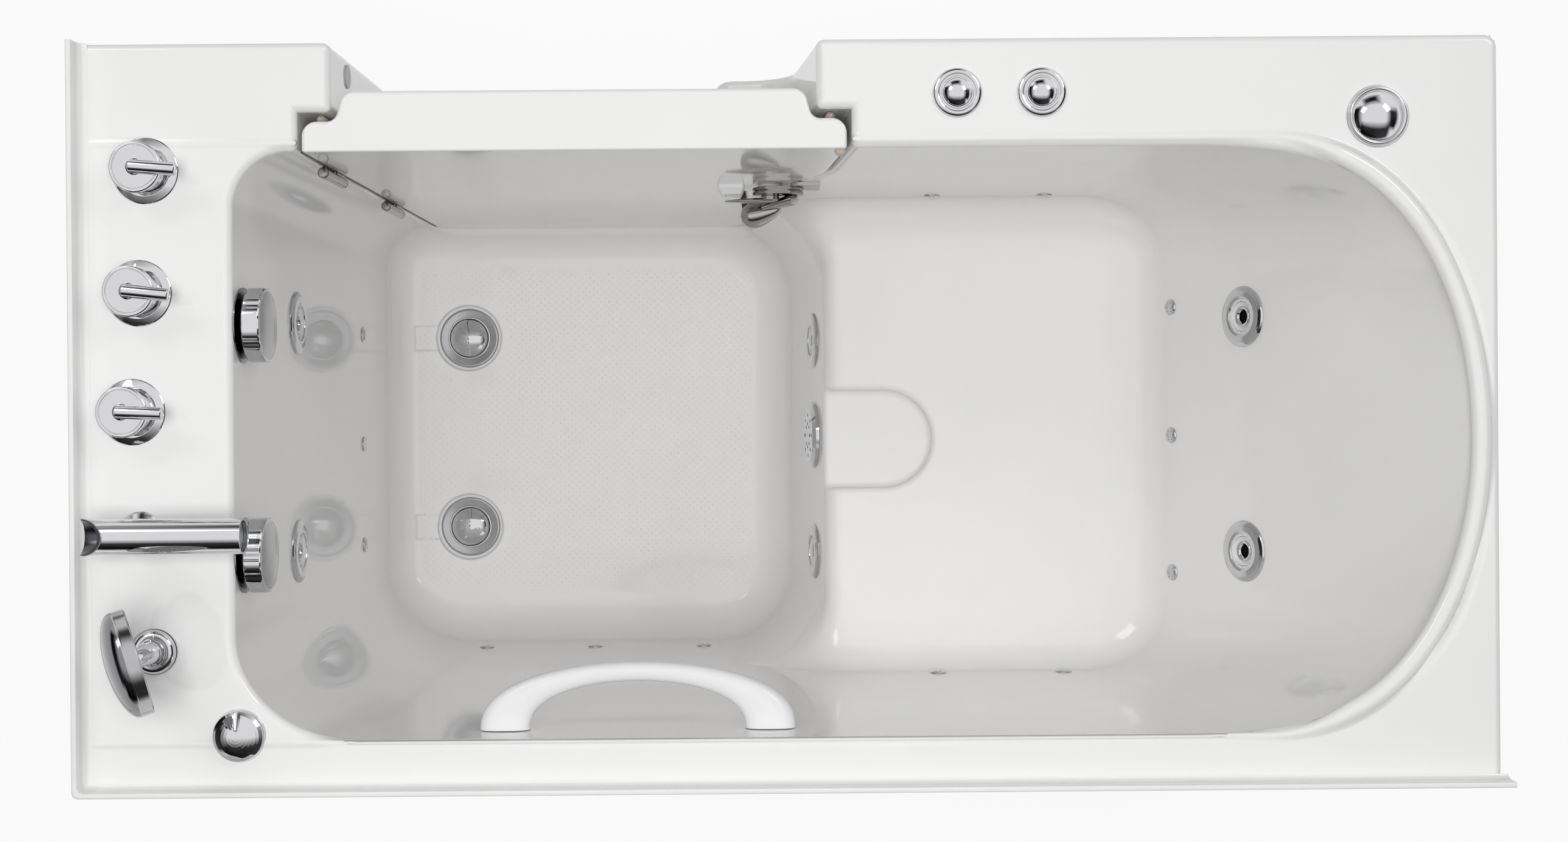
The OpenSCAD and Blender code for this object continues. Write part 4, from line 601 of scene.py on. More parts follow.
def door():
    p, q, n = surface_net(door_solid, (-70, -354, 96), (530, -276, 972), DOOR_STEP)
    p, q, n = refined(door_solid, p, q, n, 14, DOOR_STEP)
    skin = mesh_object("door_leaf", p, q, M["acrylic"], n)
    place(skin, "door", "door_white", "door_outer_skin", "door_inner_skin")


# ---- turned, swept and lofted pieces
def pose(at, z=(0, 0, 1), x=(1, 0, 0)):
    """A placement in millimetres with its Z axis along z and its X axis near x."""
    z = Vector(z).normalized()
    x = Vector(x)
    x = (x - z * x.dot(z)).normalized()
    m = Matrix((x, z.cross(x), z)).transposed().to_4x4()
    m.translation = Vector(at)
    return m


def soft(points, n=5):
    """A profile of (radius, height[, rounding]) with its corners rounded."""
    out = []
    for i, p in enumerate(points):
        b = np.array(p[:2], float)
        if len(p) < 3 or i in (0, len(points) - 1):
            out.append(b)
            continue
        to_a = np.array(points[i - 1][:2], float) - b
        to_c = np.array(points[i + 1][:2], float) - b
        la, lc = np.linalg.norm(to_a), np.linalg.norm(to_c)
        half = math.acos(np.clip(to_a @ to_c / (la * lc), -1, 1)) / 2
        cut = min(p[2] / max(math.tan(half), 0.05), 0.49 * la, 0.49 * lc)
        s, e = b + to_a / la * cut, b + to_c / lc * cut
        out += [(1 - k) ** 2 * s + 2 * (1 - k) * k * b + k * k * e for k in np.linspace(0, 1, n)]
    return np.array(out)


def dome(r, z, rise, n=9):
    """The profile of a shallow dome, from its edge in to the axis."""
    big = (r * r + rise * rise) / (2 * rise)
    u = r * np.cos(np.linspace(0, math.pi / 2, n))
    return np.stack([u, z + rise - big + np.sqrt(np.maximum(big * big - u * u, 0))], 1)


class Shape:
    """Surfaces in millimetres, gathered with a placement and a material for each."""

    def __init__(self):
        self.verts, self.faces, self.kinds, self.keys = [], [], [], []

    def add(self, verts, faces, key, at=None):
        verts = np.asarray(verts, float)
        if at is not None:
            verts = verts @ np.array(at.to_3x3()).T + np.array(at.translation)
        if key not in self.keys:
            self.keys.append(key)
        base = sum(len(v) for v in self.verts)
        self.verts.append(verts)
        self.faces += [tuple(base + i for i in f) for f in faces]
        self.kinds += [self.keys.index(key)] * len(faces)

    def skin(self, rings, key, at=None, closed=True, ends=(False, False)):
        """Quads between rings that have equally many points."""
        rings = np.asarray(rings, float)
        m, n = rings.shape[:2]
        faces = [(i * n + j, i * n + (j + 1) % n, (i + 1) * n + (j + 1) % n, (i + 1) * n + j)
                 for i in range(m - 1) for j in range(n if closed else n - 1)]
        if ends[0]:
            faces.append(tuple(range(n))[::-1])
        if ends[1]:
            faces.append(tuple((m - 1) * n + j for j in range(n)))
        self.add(rings.reshape(-1, 3), faces, key, at)

    def lathe(self, profile, key, at=None, n=64, wave=None):
        """A soft profile turned about Z; wave(angle, r, z) gives another radius."""
        a = np.arange(n) * 2 * math.pi / n
        rings = []
        for r, z in soft(profile):
            r = wave(a, r, z) if wave else r
            rings.append(np.stack([r * np.cos(a), r * np.sin(a), np.full(n, z)], 1))
        self.skin(rings, key, at)

    def sweep(self, path, radii, key, n=24, flat=(1, 1), up=(0, 0, 1), ends=(True, True)):
        """An elliptical tube along a path, its first half width along up cross path."""
        path = np.asarray(path, float)
        radii = np.broadcast_to(np.asarray(radii, float), len(path))
        t = np.gradient(path, axis=0)
        t /= np.linalg.norm(t, axis=1)[:, None]
        side = np.cross(np.array(up, float), t)
        side /= np.linalg.norm(side, axis=1)[:, None]
        top = np.cross(t, side)
        a = (np.arange(n) * 2 * math.pi / n)[:, None]
        rings = [p + r * (flat[0] * np.cos(a) * s + flat[1] * np.sin(a) * w)
                 for p, r, s, w in zip(path, radii, side, top)]
        self.skin(rings, key, ends=ends)

    def make(self, name, body, slot, *replaced, sharp=38):
        me = bpy.data.meshes.new(name)
        verts = np.concatenate(self.verts) * MM
        me.from_pydata(verts.tolist(), [], self.faces)
        for key in self.keys:
            me.materials.append(M[key])
        me.polygons.foreach_set("material_index", self.kinds)
        bm = bmesh.new()
        bm.from_mesh(me)
        bmesh.ops.remove_doubles(bm, verts=bm.verts, dist=4e-6)
        bm.to_mesh(me)
        bm.free()
        me.polygons.foreach_set("use_smooth", [True] * len(me.polygons))
        me.set_sharp_from_angle(angle=math.radians(sharp))
        place(linked(name, me), body, slot, *replaced)


def facing_seat(p):
    return pose(p, (-1, 0, 0), (0, 0, 1))


def facing_foot(p, lean):
    c, s = math.cos(math.radians(lean)), math.sin(math.radians(lean))
    return pose(p, (c, 0, s), (s, 0, -c))


def nut(shape, x, y, r, key):
    """A hexagonal nut under the deck."""
    shape.lathe([(0, UNDER_DECK - 8), (r - 1, UNDER_DECK - 8), (r, UNDER_DECK - 7),
                 (r, UNDER_DECK - 0.6), (0, UNDER_DECK - 0.6)], key, pose((x, y, 0)), n=6)


def around(at, count, radius, z, first=0.0):
    """Placements in a circle about the Z axis of another placement."""
    for i in range(count):
        t = (i + first) * 2 * math.pi / count
        yield at @ Matrix.Translation((radius * math.cos(t), radius * math.sin(t), z))


# ---- taps and spout
TAPS = [(686.0, -264.0, 4.6, "hot"), (694.0, -134.0, 6.0, "cold"), (702.0, -7.5, 2.6, "diverter")]


def taps():
    base = Shape()
    for x, y, turn, name in TAPS:
        at = pose((x, y, DECK_Z))
        base.lathe([(14.3, 0), (35.5, 0, .3), (35.5, 1.1, .6), (34.4, 1.9, 1), (27.4, 4.9, 2),
                    (15.6, 5, .5), (14.3, 4.2, .3), (14.3, -1)], "chrome", at)
        knob = Shape()
        z0, z1 = 5.3, 38.0
        knob.lathe([(0, z0), (22, z0, .3), (22, z0 + 1.2, .9), (19.8, z0 + 4.5, 4),
                    (18.8, z0 + 9, 6), (19.3, z1 - 16, 9), (26.4, z1 - 9, 3),
                    (27, z1 - 7.6, 1), (27, z1 - 1, 1), (25.8, z1, .8), (23.9, z1, .2),
                    (23.5, z1 - .5, .2), (23, z1 - .5, .2), (22.6, z1, .2), (0, z1 + .1)],
                   "chrome", at)
        knob.lathe([(0, -18), (5, -18), (6, -17), (6, z0)], "steel", at, n=32)
        bar = soft([(0, -4), (6, -4, .5), (7, -3, .7), (7, 44, .7), (6.2, 45, .5), (5.4, 45, .2),
                    (5.1, 44.4, .2), (0, 44.4)])
        along = (-math.cos(math.radians(turn)), math.sin(math.radians(turn)), 0)
        knob.lathe(bar, "chrome", pose((x, y, DECK_Z + 42), along, (0, 0, 1)), n=40)
        knob.lathe([(9, z1 - .2), (8.6, z1 + 1, .8), (7.4, z1 + 2.6, 1), (6, z1 + 5)],
                   "chrome", at, n=40)
        knob.make(name + "_handle_piece", name + "_handle", "tap_chrome",
                  "diverter_knob" if name == "diverter" else name + "_tap_knob")
    base.make("tap_escutcheons", "tub", "tap_chrome", "valve_escutcheons")


SPOUT_X, SPOUT_Y, SPOUT_AXIS, SPOUT_R, SPOUT_END = 694.0, 121.0, 1040.0, 18.5, 734
STEM_R, TOP_CUT, RISER_Z1 = 13, 17.4, 921.0


def spout():
    foot = Shape()
    at = pose((SPOUT_X, SPOUT_Y, DECK_Z))
    foot.lathe([(10, RISER_Z1 - DECK_Z), (10, 0), (23, 0, .3), (23, 2, 1), (21, 4, 2),
                (15.5, 7.5, 4), (13.2, 12, 3), (13, 20)], "chrome", at)
    a = np.arange(64) * 2 * math.pi / 64
    x, y = STEM_R * np.cos(a), STEM_R * np.sin(a)
    low = np.stack([x, y, np.full(64, 20.0)], 1)
    high = np.stack([x, y, SPOUT_AXIS - DECK_Z - np.sqrt(TOP_CUT ** 2 - y * y)], 1)
    foot.skin([low + (high - low) * t for t in (0, .25, .5, .75, .9, 1)], "chrome", at)
    nut(foot, SPOUT_X, SPOUT_Y, 17, "brass")
    foot.make("spout_foot", "tub", "tap_chrome", "spout_base")

    tube = Shape()
    n = 72
    a = np.arange(n) * 2 * math.pi / n
    outer = [(564.6, 17.6), (564.0, 18.0), *((x, SPOUT_R) for x in (564.4, 570, 640, 700)),
             (716, 18.6), (724, 18.9), (730, 19.3), (SPOUT_END, 19.8)]
    inner = [(SPOUT_END, 18.9), (730, 17.6), (722, 16.4), (700, 16), (640, 16), (570, 16),
             (565, 16.3), (564.6, 17.6)]

    def ring(x, r):
        y, z = r * np.cos(a), SPOUT_AXIS + r * np.sin(a)
        slant = 706 + (SPOUT_AXIS + SPOUT_R - z) / math.tan(math.radians(35))
        end = np.minimum(SPOUT_END, slant)
        return np.stack([np.minimum(x, end), SPOUT_Y - y, z], 1)
    tube.skin([ring(x, r) for x, r in outer], "chrome")
    tube.skin([ring(SPOUT_END, 19.8), ring(SPOUT_END, 18.9)], "chrome")
    tube.skin([ring(x, r) for x, r in inner[:5]], "black_chrome")
    tube.skin([ring(x, r) for x, r in inner[4:]], "satin")
    tube.lathe([(16.2, 5.5), (15, 5.5), (14.6, 4.9, .2), (0, 4.6)], "grey",
               pose((564, SPOUT_Y, SPOUT_AXIS), (1, 0, 0), (0, 0, 1)), n=72)
    tube.make("spout_pipe", "tub", "tap_chrome", "spout_tube")


HOLDER, HEAD, HEAD_TURN, HEAD_TILT = (678.5, 247.0), (671.5, 247, 1065), 16.6, -110


def hand_shower():
    holder = Shape()
    base_at = pose((*HOLDER, DECK_Z))
    torus = [(16 + 8 * math.cos(t), 8 + 8 * math.sin(t))
             for t in np.radians(np.linspace(-80, 118, 18))]
    holder.lathe([(15, RISER_Z1 - DECK_Z), (15, 0), *torus, (12.9, 15.2), (12.7, 14.2)],
                 "chrome", base_at)
    holder.lathe([(12.7, 14.2), (12.7, 15.9, .2), (12.3, 15.9, .2), (12.3, -40)], "satin", base_at)
    holder.lathe([(24.15, 7.2), (24.4, 7.5, .2), (24.4, 8.5, .2), (24.15, 8.8)], "black", base_at)
    nut(holder, *HOLDER, 20, "brass")
    holder.make("shower_cradle", "tub", "tap_chrome", "shower_holder")

    head_at = (Matrix.Translation(HEAD) @ Matrix.Rotation(math.radians(HEAD_TURN), 4, "Z")
               @ Matrix.Rotation(math.radians(HEAD_TILT), 4, "Y"))
    body = Shape()
    back = [(55.5 * math.cos(t), -7 - 20 * math.sin(t)) for t in np.radians(range(0, 91, 9))]
    body.lathe(back[::-1], "dark_chrome", head_at, n=96)
    body.lathe([(55.5, -7), (55.7, -5.8, .6), (55.5, -4.8, .5), (55.5, 5.6, .8),
                (54.6, 6.9, .8), (51.8, 7, .5), (50.5, 5.6, .4), (50.5, -2)],
               "satin", head_at, n=96)
    stem = [(np.array((*HOLDER, h)), 12.0) for h in (925, 960, 981, 990)]
    root = np.array(head_at @ Vector((-44, 0, -11)))
    bend = np.array((*HOLDER, 1003.0))
    for t in np.linspace(0.12, 1, 9):
        p = (1 - t) ** 2 * stem[3][0] + 2 * (1 - t) * t * bend + t * t * root
        stem.append((p, 12.0 - 3.2 * smooth01(t)))
    body.sweep([p for p, r in stem], [r for p, r in stem], "chrome", n=40, up=(0, 1, 0))
    body.lathe([(12, 981.4), (14.4, 981.4, .3), (15, 982.2, .5), (15, 985.4, .6),
                (14, 986.3, .5), (12, 986.6)], "chrome", pose((*HOLDER, 0)), n=48)
    body.make("shower_head", "hand_shower", "shower_chrome", "hand_shower_body")

    face = Shape()
    face.lathe([(0, -1.6), (50.2, -1.6), (50.2, 5.2, .5), (49.4, 6.1, .5), (45.5, 6.3, .5),
                (44.5, 5.4, .4), (0, 5.2)], "grey", head_at, n=96)
    bump = soft([(1.9, 5.1), (1.5, 5.6, .3), (1.2, 6.9, .3), (.7, 7.2, .2), (0, 6.6)], 3)
    for k in range(5):
        for spot in around(head_at, 6 * (k + 1), 8 * (k + 1), 0, 0.5 * (k % 2)):
            face.lathe(bump, "white_plastic", spot, n=10)
    face.make("shower_spray", "hand_shower", "shower_grey", "hand_shower_face")


# ---- overflows and drains
def overflows():
    for y, name in ((-101.0, "front"), (149.0, "back")):
        knob = Shape()
        at = facing_seat((BASIN_X1, y, 919.0))

        def scallop(a, r, z):
            share = np.clip((r - 38) / 2.5, 0, 1) * (1 if 9 < z < 26 else 0.25)
            return r - 1.5 * share * (0.5 + 0.5 * np.cos(12 * a)) ** 2
        knob.lathe([(0, 7.6), (39.2, 7.6, .3), (41, 9.2, 1), (41, 15), (41, 21),
                    (41, 25.6, 1.2), (39.6, 27.3, 1), (38, 27.6, .4), (37.4, 27.2, .2),
                    (36.8, 27.6, .3)], "chrome", at, n=144, wave=scallop)
        knob.lathe([(36.8, 27.6), *dome(36.4, 27.7, 4.3, 14)], "spun", at, n=96)
        knob.lathe([(0, -8), (8, -8), (8, 8)], "steel", at, n=40)
        knob.make("overflow_turn_" + name, "overflow_" + name, "overflow_chrome",
                  "overflow_knob_" + name)


DRAIN_Z, PLUG_Z0 = 57.0, 60.3


def drains():
    ring = Shape()
    for (x, y), name in zip(DRAINS, ("front", "back")):
        at = pose((x, y, DRAIN_Z))
        ring.lathe([(0, -13), (42, -13, .5), (42, -6.2, .5), (30, -6), (30, 0), (45, 0),
                    (45, .9, .6), (43.6, 2.8, 1), (41.6, 3, .6), (32.2, 1.6, .4)],
                   "satin", at, n=96)
        ring.lathe([(32.2, 1.6), (31.6, 2.7, .5), (29.6, 2.7, .5), (28.8, .9, .3),
                    (25, .7, .3), (25, -5)], "chrome", at, n=96)
        # Black throat and floor below the grate: painted shade of the drain's depth.
        ring.lathe([(25, -5), (25, -11), (0, -11)], "black", at, n=48)
        plug = Shape()
        top = pose((x, y, PLUG_Z0))
        plug.lathe([*soft([(0, .1), (26.4, .1, .2), (28, .5, .4), (28, 1.6, .5), (27.4, 2.3)]),
                    *dome(27.3, 2.3, 8.7, 16)], "chrome", top, n=96)
        plug.lathe([(0, -19.3), (4, -19.3), (4, .2)], "steel", top, n=24)
        plug.make("drain_dome_" + name, "plug_" + name, "drain_chrome", "drain_plug_" + name)
    ring.make("drain_rings", "tub", "drain_chrome", "drain_flanges")


# ---- jets
SEAT_LEAN, REST_LEAN = 8.5, 27.1
JETS = {"foot": [facing_seat((BASIN_X1, y, 677.0)) for y in (-115, 161)],
        "seat": [facing_foot((-34.8, y, 330.0), SEAT_LEAN) for y in (-102, 190)],
        "rest": [facing_foot((-563.3, y, 620.0), REST_LEAN) for y in (-117, 174)]}
AIR = ([facing_seat((BASIN_X1, y, 300.0)) for y in (-116, 37, 178)]
       + [pose((x, wall_back_y(200), 200.0), (0, -1, 0)) for x in (440, 283, 125)]
       + [pose((x, wall_back_y(491), 491.0), (0, -1, 0)) for x in (-192, -356)]
       + [pose((x, BASIN_Y0, 491.0), (0, 1, 0)) for x in (-188, -335)])
REST_AIR_Z = 494.0
REST_AIR_X = REST_FOOT_X + (REST_AIR_Z - SEAT_Z) / (DECK_Z - SEAT_Z) * (BASIN_X0 - REST_FOOT_X)
AIR += [facing_foot((REST_AIR_X, y, REST_AIR_Z), REST_LEAN) for y in (-136, 31, 210)]
BALL_R, SOCKET_R, BALL_Z = 20, 20.35, -6


def jets():
    rings, bodies = Shape(), Shape()
    socket = arc(0, BALL_Z, SOCKET_R, 24, -60, 12)
    ball = arc(0, BALL_Z, BALL_R, -70, 25)
    for where, spots in JETS.items():
        for side, at in zip(("front", "back"), spots):
            rings.lathe([(29.3, .3), (38, .3), (38, 1, .5), (36.6, 2.8, 2), (32, 4.7, 5),
                         (25, 5.2, 3), (22.2, 4.6, .5), (21.6, 3.4, .3), (21.6, 3)],
                       "jet_trim", at, n=96)
            bodies.lathe([(9, -40), (29, -40, .5), (29, -15), (35, -15), (35, -7), (29, -7),
                          (29, 2.6, .5), (24, 2.9, .3), (21.6, 3.3, .2), (19.4, 3.4, .5),
                          (18.6, 2.3)], "white_plastic", at, n=72)
            bodies.lathe(socket, "dark", at, n=48)
            for spot in around(at, 16, 20.1, .3):
                bodies.lathe(soft([(.7, 2.8), (.6, 3.2, .2), (0, 3.3)], 3), "grey", spot, n=8)
            nozzle = Shape()
            nozzle.lathe([*ball, *soft([(18, 2.7), (17.4, 2.9, .2), (15.6, 1.3, 1), (13, .2)])],
                         "white_plastic", at, n=64)
            nozzle.lathe([(13, .2), (12.9, 1.6, .4), (12, 2.2, .5), (9.4, 1.4, 1),
                          (8, -1, 1), (7.6, -4)], "chrome", at, n=64)
            # Black bore closed at its end: painted shade inside the nozzle.
            nozzle.lathe([(7.6, -4), (7.2, -12), (6.5, -22), (0, -22)], "black", at, n=32)
            end = "_%s_%s" % (where, side)
            nozzle.make("jet_eye" + end, "nozzle" + end, "jet_chrome", "jet_nozzle" + end)
    rings.make("jet_trims", "tub", "jet_chrome", "jet_rings")
    bodies.make("jet_sockets", "tub", "jet_white", "jet_bodies")
    caps = Shape()
    for at in AIR:
        caps.lathe([(7, -8), (7, 0.3), (10.5, .3), (10.5, .9, .4), (9.2, 2.4, 1),
                    (4.2, 3.1, 1), (3.6, 2.8, .3), (0, 3.2)], "chrome", at, n=40)
        # Six black dots: painted shade of the cap's holes.
        for spot in around(at, 6, 6.4, -.15):
            caps.lathe([(.8, 2.7), (.7, 3.0), (0, 3.02)], "black", spot, n=8)
    caps.make("air_caps", "tub", "air_grey", "air_jets")


# ---- deck fittings
BUTTONS_Y, CAP_X, CAP_Y = -341.0, -627.0, -313.0


def deck_fittings():
    rims = Shape()
    for x, name in ((-179.0, "pump"), (-269.0, "air")):
        at = pose((x, BUTTONS_Y, DECK_Z))
        rims.lathe([(4.1, -40), (16, -40, .5), (16, 0), (26.5, 0), (26.5, 1.6, 1.2),
                    (25.4, 4.6, 3), (22.4, 6, 2.4), (20, 5.2, .6), (19.4, 4.2, .3),
                    (17.4, 4.2, .3), (16.8, 5, .3), (15.3, 5, .3), (15.3, -7.5)],
                   "chrome", at, n=80)
        # Black floor of the well round the button: painted shade of the gap.
        rims.lathe([(15.3, -7.5), (4.1, -7.5)], "black", at, n=48)
        nut(rims, x, BUTTONS_Y, 22, "dark")
        button = Shape()
        button.lathe([*soft([(0, -3), (14.6, -3, .3), (15, -2.4, .3), (15, 6.6, .5), (14.5, 7.1)]),
                      *dome(14.4, 7.1, 5.9, 14)], "chrome", at, n=64)
        button.lathe([(0, -18), (4, -18), (4, -3)], "steel", at, n=20)
        button.make(name + "_push", name + "_switch", "button_chrome", name + "_button")
    rims.make("button_rims", "tub", "button_chrome", "button_bezels")

    cap = Shape()
    at = pose((CAP_X, CAP_Y, DECK_Z))
    cap.lathe([*soft([(20, -26), (20, 0), (33.5, 0), (33.5, 1, .6), (32.8, 2.2, 1), (31.9, 2, .2),
                      (31.4, 1.8, .2), (31, 2.6, .3), (30.6, 4.6, 1.4), (29, 5.2, 1),
                      (27.6, 4.5, .5), (27, 3.9, .3), (26.6, 4.4, .2)]),
               *dome(26.4, 4.5, 12.3, 16)], "chrome", at, n=96)
    nut(cap, CAP_X, CAP_Y, 26, "dark")
    cap.make("deck_dome", "tub", "button_chrome", "deck_cap")


# ---- latch, hinges and gasket
LATCH_Z, CAM_X, PIVOT_X, CASE_X, CAM_Y0 = 625.0, 12.5, 22.5, 70.5, -279.7


def latch():
    lever = Shape()
    cam = soft([(6.1, 0), (31.2, 0, .3), (32, .8, .6), (32, 3.2, .6), (31.2, 3.9, .4),
                (30.2, 4.1, .3), (30.2, 4.9, .3), (31.2, 5.1, .4), (32, 5.8, .6), (32, 8.2, .6),
                (31.2, 9, .3), (24, 9.2, .5), (22, 8.6, .5), (6, 8.6)])
    disc = Shape()  # its top is cut flat
    disc.lathe(cam, "hinge", pose((CAM_X, CAM_Y0, LATCH_Z), (0, 1, 0)), n=96)
    v = disc.verts[0].copy()
    v[:, 2] = np.minimum(v[:, 2], LATCH_Z + 28)
    lever.add(v, disc.faces, "hinge")
    lever.lathe([(11, 8), (11, 14.6, 1.5), (8.4, 16, 1.5), (0, 16.4)], "hinge",
                pose((PIVOT_X, CAM_Y0, LATCH_Z), (0, 1, 0)), n=48)
    # tapered body from the disc down to the grip
    t = np.linspace(0, 1, 21)
    a, b = np.array((-11.0, -268.0, 617.0)), np.array((30.0, -257.5, 603.0))
    line = a + (b - a) * t[:, None]
    width = (7.4 - 2.2 * smooth01(t)) * np.sqrt(1 - (1 - np.clip(t / .12, .02, 1)) ** 2)
    lever.sweep(line, width, "grip", n=32, up=(0, 1, 0), flat=(2.0, .95))
    # egg-shaped grip, its small end toward the seat
    tip, end = np.array((9.0, -257.5, 603.0)), np.array((58.5, -245.5, 587.0))
    axis = end - tip
    phi = np.linspace(0, math.pi, 44)
    along = np.linalg.norm(axis) / 2 * (1 - np.cos(phi))
    radius = 15.6 * np.sin(phi) * (1 - .38 * np.cos(phi) + .06 * np.cos(2 * phi))
    lever.lathe(np.stack([radius, along], 1), "grip", pose(tip, axis, (0, 0, 1)), n=72)
    # blade toward the hinges
    t = np.linspace(0, 1, 26)
    a, b = np.array((14.0, -264.8, 623.0)), np.array((78.2, -264.4, 620.5))
    width = 6.4 * np.sin(math.pi * np.clip(.04 + .92 * t ** .75, 0, 1)) ** .7
    lever.sweep(a + (b - a) * t[:, None], width, "grip", n=28, flat=(.55, 1.5))
    lever.make("latch_handle", "latch", "latch_chrome", "latch_lever")

    base = Shape()
    base.lathe([(15, 0), (15, 2.4, .5), (14.4, 3, .4), (6, 3), (6, 13), (0, 13)],
               "white_plastic", pose((PIVOT_X, DOOR_Y1, LATCH_Z), (0, 1, 0)), n=48)

    def plate(w, h, r, y, n=8):
        ring = []
        for cx, cz, a0 in ((w - r, h - r, 0), (r - w, h - r, 90), (r - w, r - h, 180),
                           (w - r, r - h, 270)):
            a = np.radians(a0 + np.linspace(0, 90, n))
            ring += [(CASE_X + cx + r * c, y, LATCH_Z + cz + r * s)
                     for c, s in zip(np.cos(a), np.sin(a))]
        return ring[::-1]
    base.skin([plate(16, 23, 3, -283), plate(16, 23, 3, -279), plate(15.7, 22.7, 3, -278.4),
               plate(12.6, 19.6, 2.5, -271.6), plate(12, 19, 2.4, -271.1),
               plate(11, 18, 2, -271), plate(8, 14, 2, -271)], "white_plastic", ends=(True, False))
    base.skin([plate(8, 14, 2, -271), plate(7.6, 13.6, 2, -271.8), plate(7, 13, 1.6, -271.9)],
              "white_plastic", ends=(False, True))
    base.make("latch_case", "door", "latch_plastic", "latch_base")


HINGE_X, HINGE_Y = 523.25, -275.0


def hinge_details():
    pins = Shape()
    for z in (446.0, 800.0):
        at = pose((HINGE_X, HINGE_Y, z))
        half = soft([(3, 40), (3, 50.2), (6, 50.3, .2), (6.1, 51.2, .7), (5, 52.4, 1), (0, 52.9)])
        pins.lathe(half, "hinge", at, n=40)
        pins.lathe(half * [1, -1], "hinge", at, n=40)
        pins.lathe([(3, -42), (3, 42)], "steel", at, n=24)
    pins.make("hinge_pin_heads", "door", "hinge_chrome", "hinge_pins")


SEAL_Y, SEAL_TOP, SEAL_INSET, SEAL_R = -320.7, 951.0, 22.0, 4.7
# Where the dark strip runs that stands in for the shade in the gap beside the hinges: painted
# shade.
SHADE_STRIP_Y, SHADE_STRIP_INSET, SHADE_STRIP_R = -284.7, 2.9, 2.1


def gasket():
    """The round seal, the stop bumper, and a dark strip beside the hinges that paints the shade of
    the gap there.
    """
    seal = Shape()
    pts = recess_points(SEAL_INSET)[1:-1]
    path = [np.array((pts[0][0], SEAL_TOP))]
    for a in pts[1:]:
        if np.linalg.norm(a - path[-1]) > 1.2:
            path.append(a)
    path = np.array([*path, (RECESS_X1 - SEAL_INSET, SEAL_TOP)])
    d = np.concatenate([[0], np.cumsum(np.linalg.norm(np.diff(path, axis=0), axis=1))])
    s = np.linspace(0, d[-1], 260)
    line = np.stack([np.interp(s, d, path[:, 0]), np.full(260, SEAL_Y),
                     np.interp(s, d, path[:, 1])], 1)
    end = 1 - np.clip(np.minimum(s, s[-1] - s) / SEAL_R, 0, 1)
    r = SEAL_R * np.sqrt(np.clip(1 - end ** 2, .02, 1))
    seal.sweep(line, r, "rubber", n=20, up=(0, 1, 0))
    # A dark strip down the gap on the hinge side, painted shade of the gap.
    edge = recess_points(SHADE_STRIP_INSET)
    hinge_side = edge[edge[:, 0] > 500][:-1][::-1]
    low = np.array([p for p in hinge_side if p[1] < 150])
    line = [(RECESS_X1 - SHADE_STRIP_INSET, SHADE_STRIP_Y, h) for h in np.linspace(948, 142, 40)]
    line += [(x, SHADE_STRIP_Y, h) for x, h in low[1:]]
    taper = np.clip((len(line) - np.arange(len(line))) / 9, .3, 1)
    seal.sweep(line, SHADE_STRIP_R * taper, "seam", n=12, up=(0, 1, 0), flat=(1, .6))
    seal.lathe([(6.4, 0), (6.4, .8, .3), (5.9, 1.4, .4), (5.6, 3, 2), (3.4, 5.3, 2),
                (0, 6)], "rubber", pose((-54.5, DOOR_Y1, 945.0), (0, 1, 0)), n=40)
    seal.make("door_seal_and_gap_shade", "door", "gasket_rubber", "door_gasket")


# ---- grab bar, flanges and lips
BAR_X, BAR_Z = 171.0, 900


def grab_bar():
    """A flat arch, whose section is a superellipse."""
    bar = Shape()
    wall_y, e = wall_back_y(915) - 1, 2 / 2.6
    rings = []
    u = np.arange(36) * 2 * math.pi / 36
    cu, su = np.cos(u), np.sin(u)
    for a in np.linspace(0, math.pi, 61):
        s = math.sin(a)
        outer = np.array((BAR_X + 173 * math.cos(a), wall_y - 74 * s ** .85))
        inner = np.array((BAR_X + 118 * math.cos(a), wall_y - 52 * s ** .85))
        centre, half = (outer + inner) / 2, (outer - inner) / 2
        x, y = (c + h * np.sign(cu) * abs(cu) ** e for c, h in zip(centre, half))
        z = BAR_Z + (15 - 1.5 * s) * np.sign(su) * abs(su) ** e
        rings.append(np.stack([x, y, z], 1))
    bar.skin(rings[::-1], "bar", ends=(True, True))
    bar.make("grab_arch", "tub", "bar_white", "grab_bar")


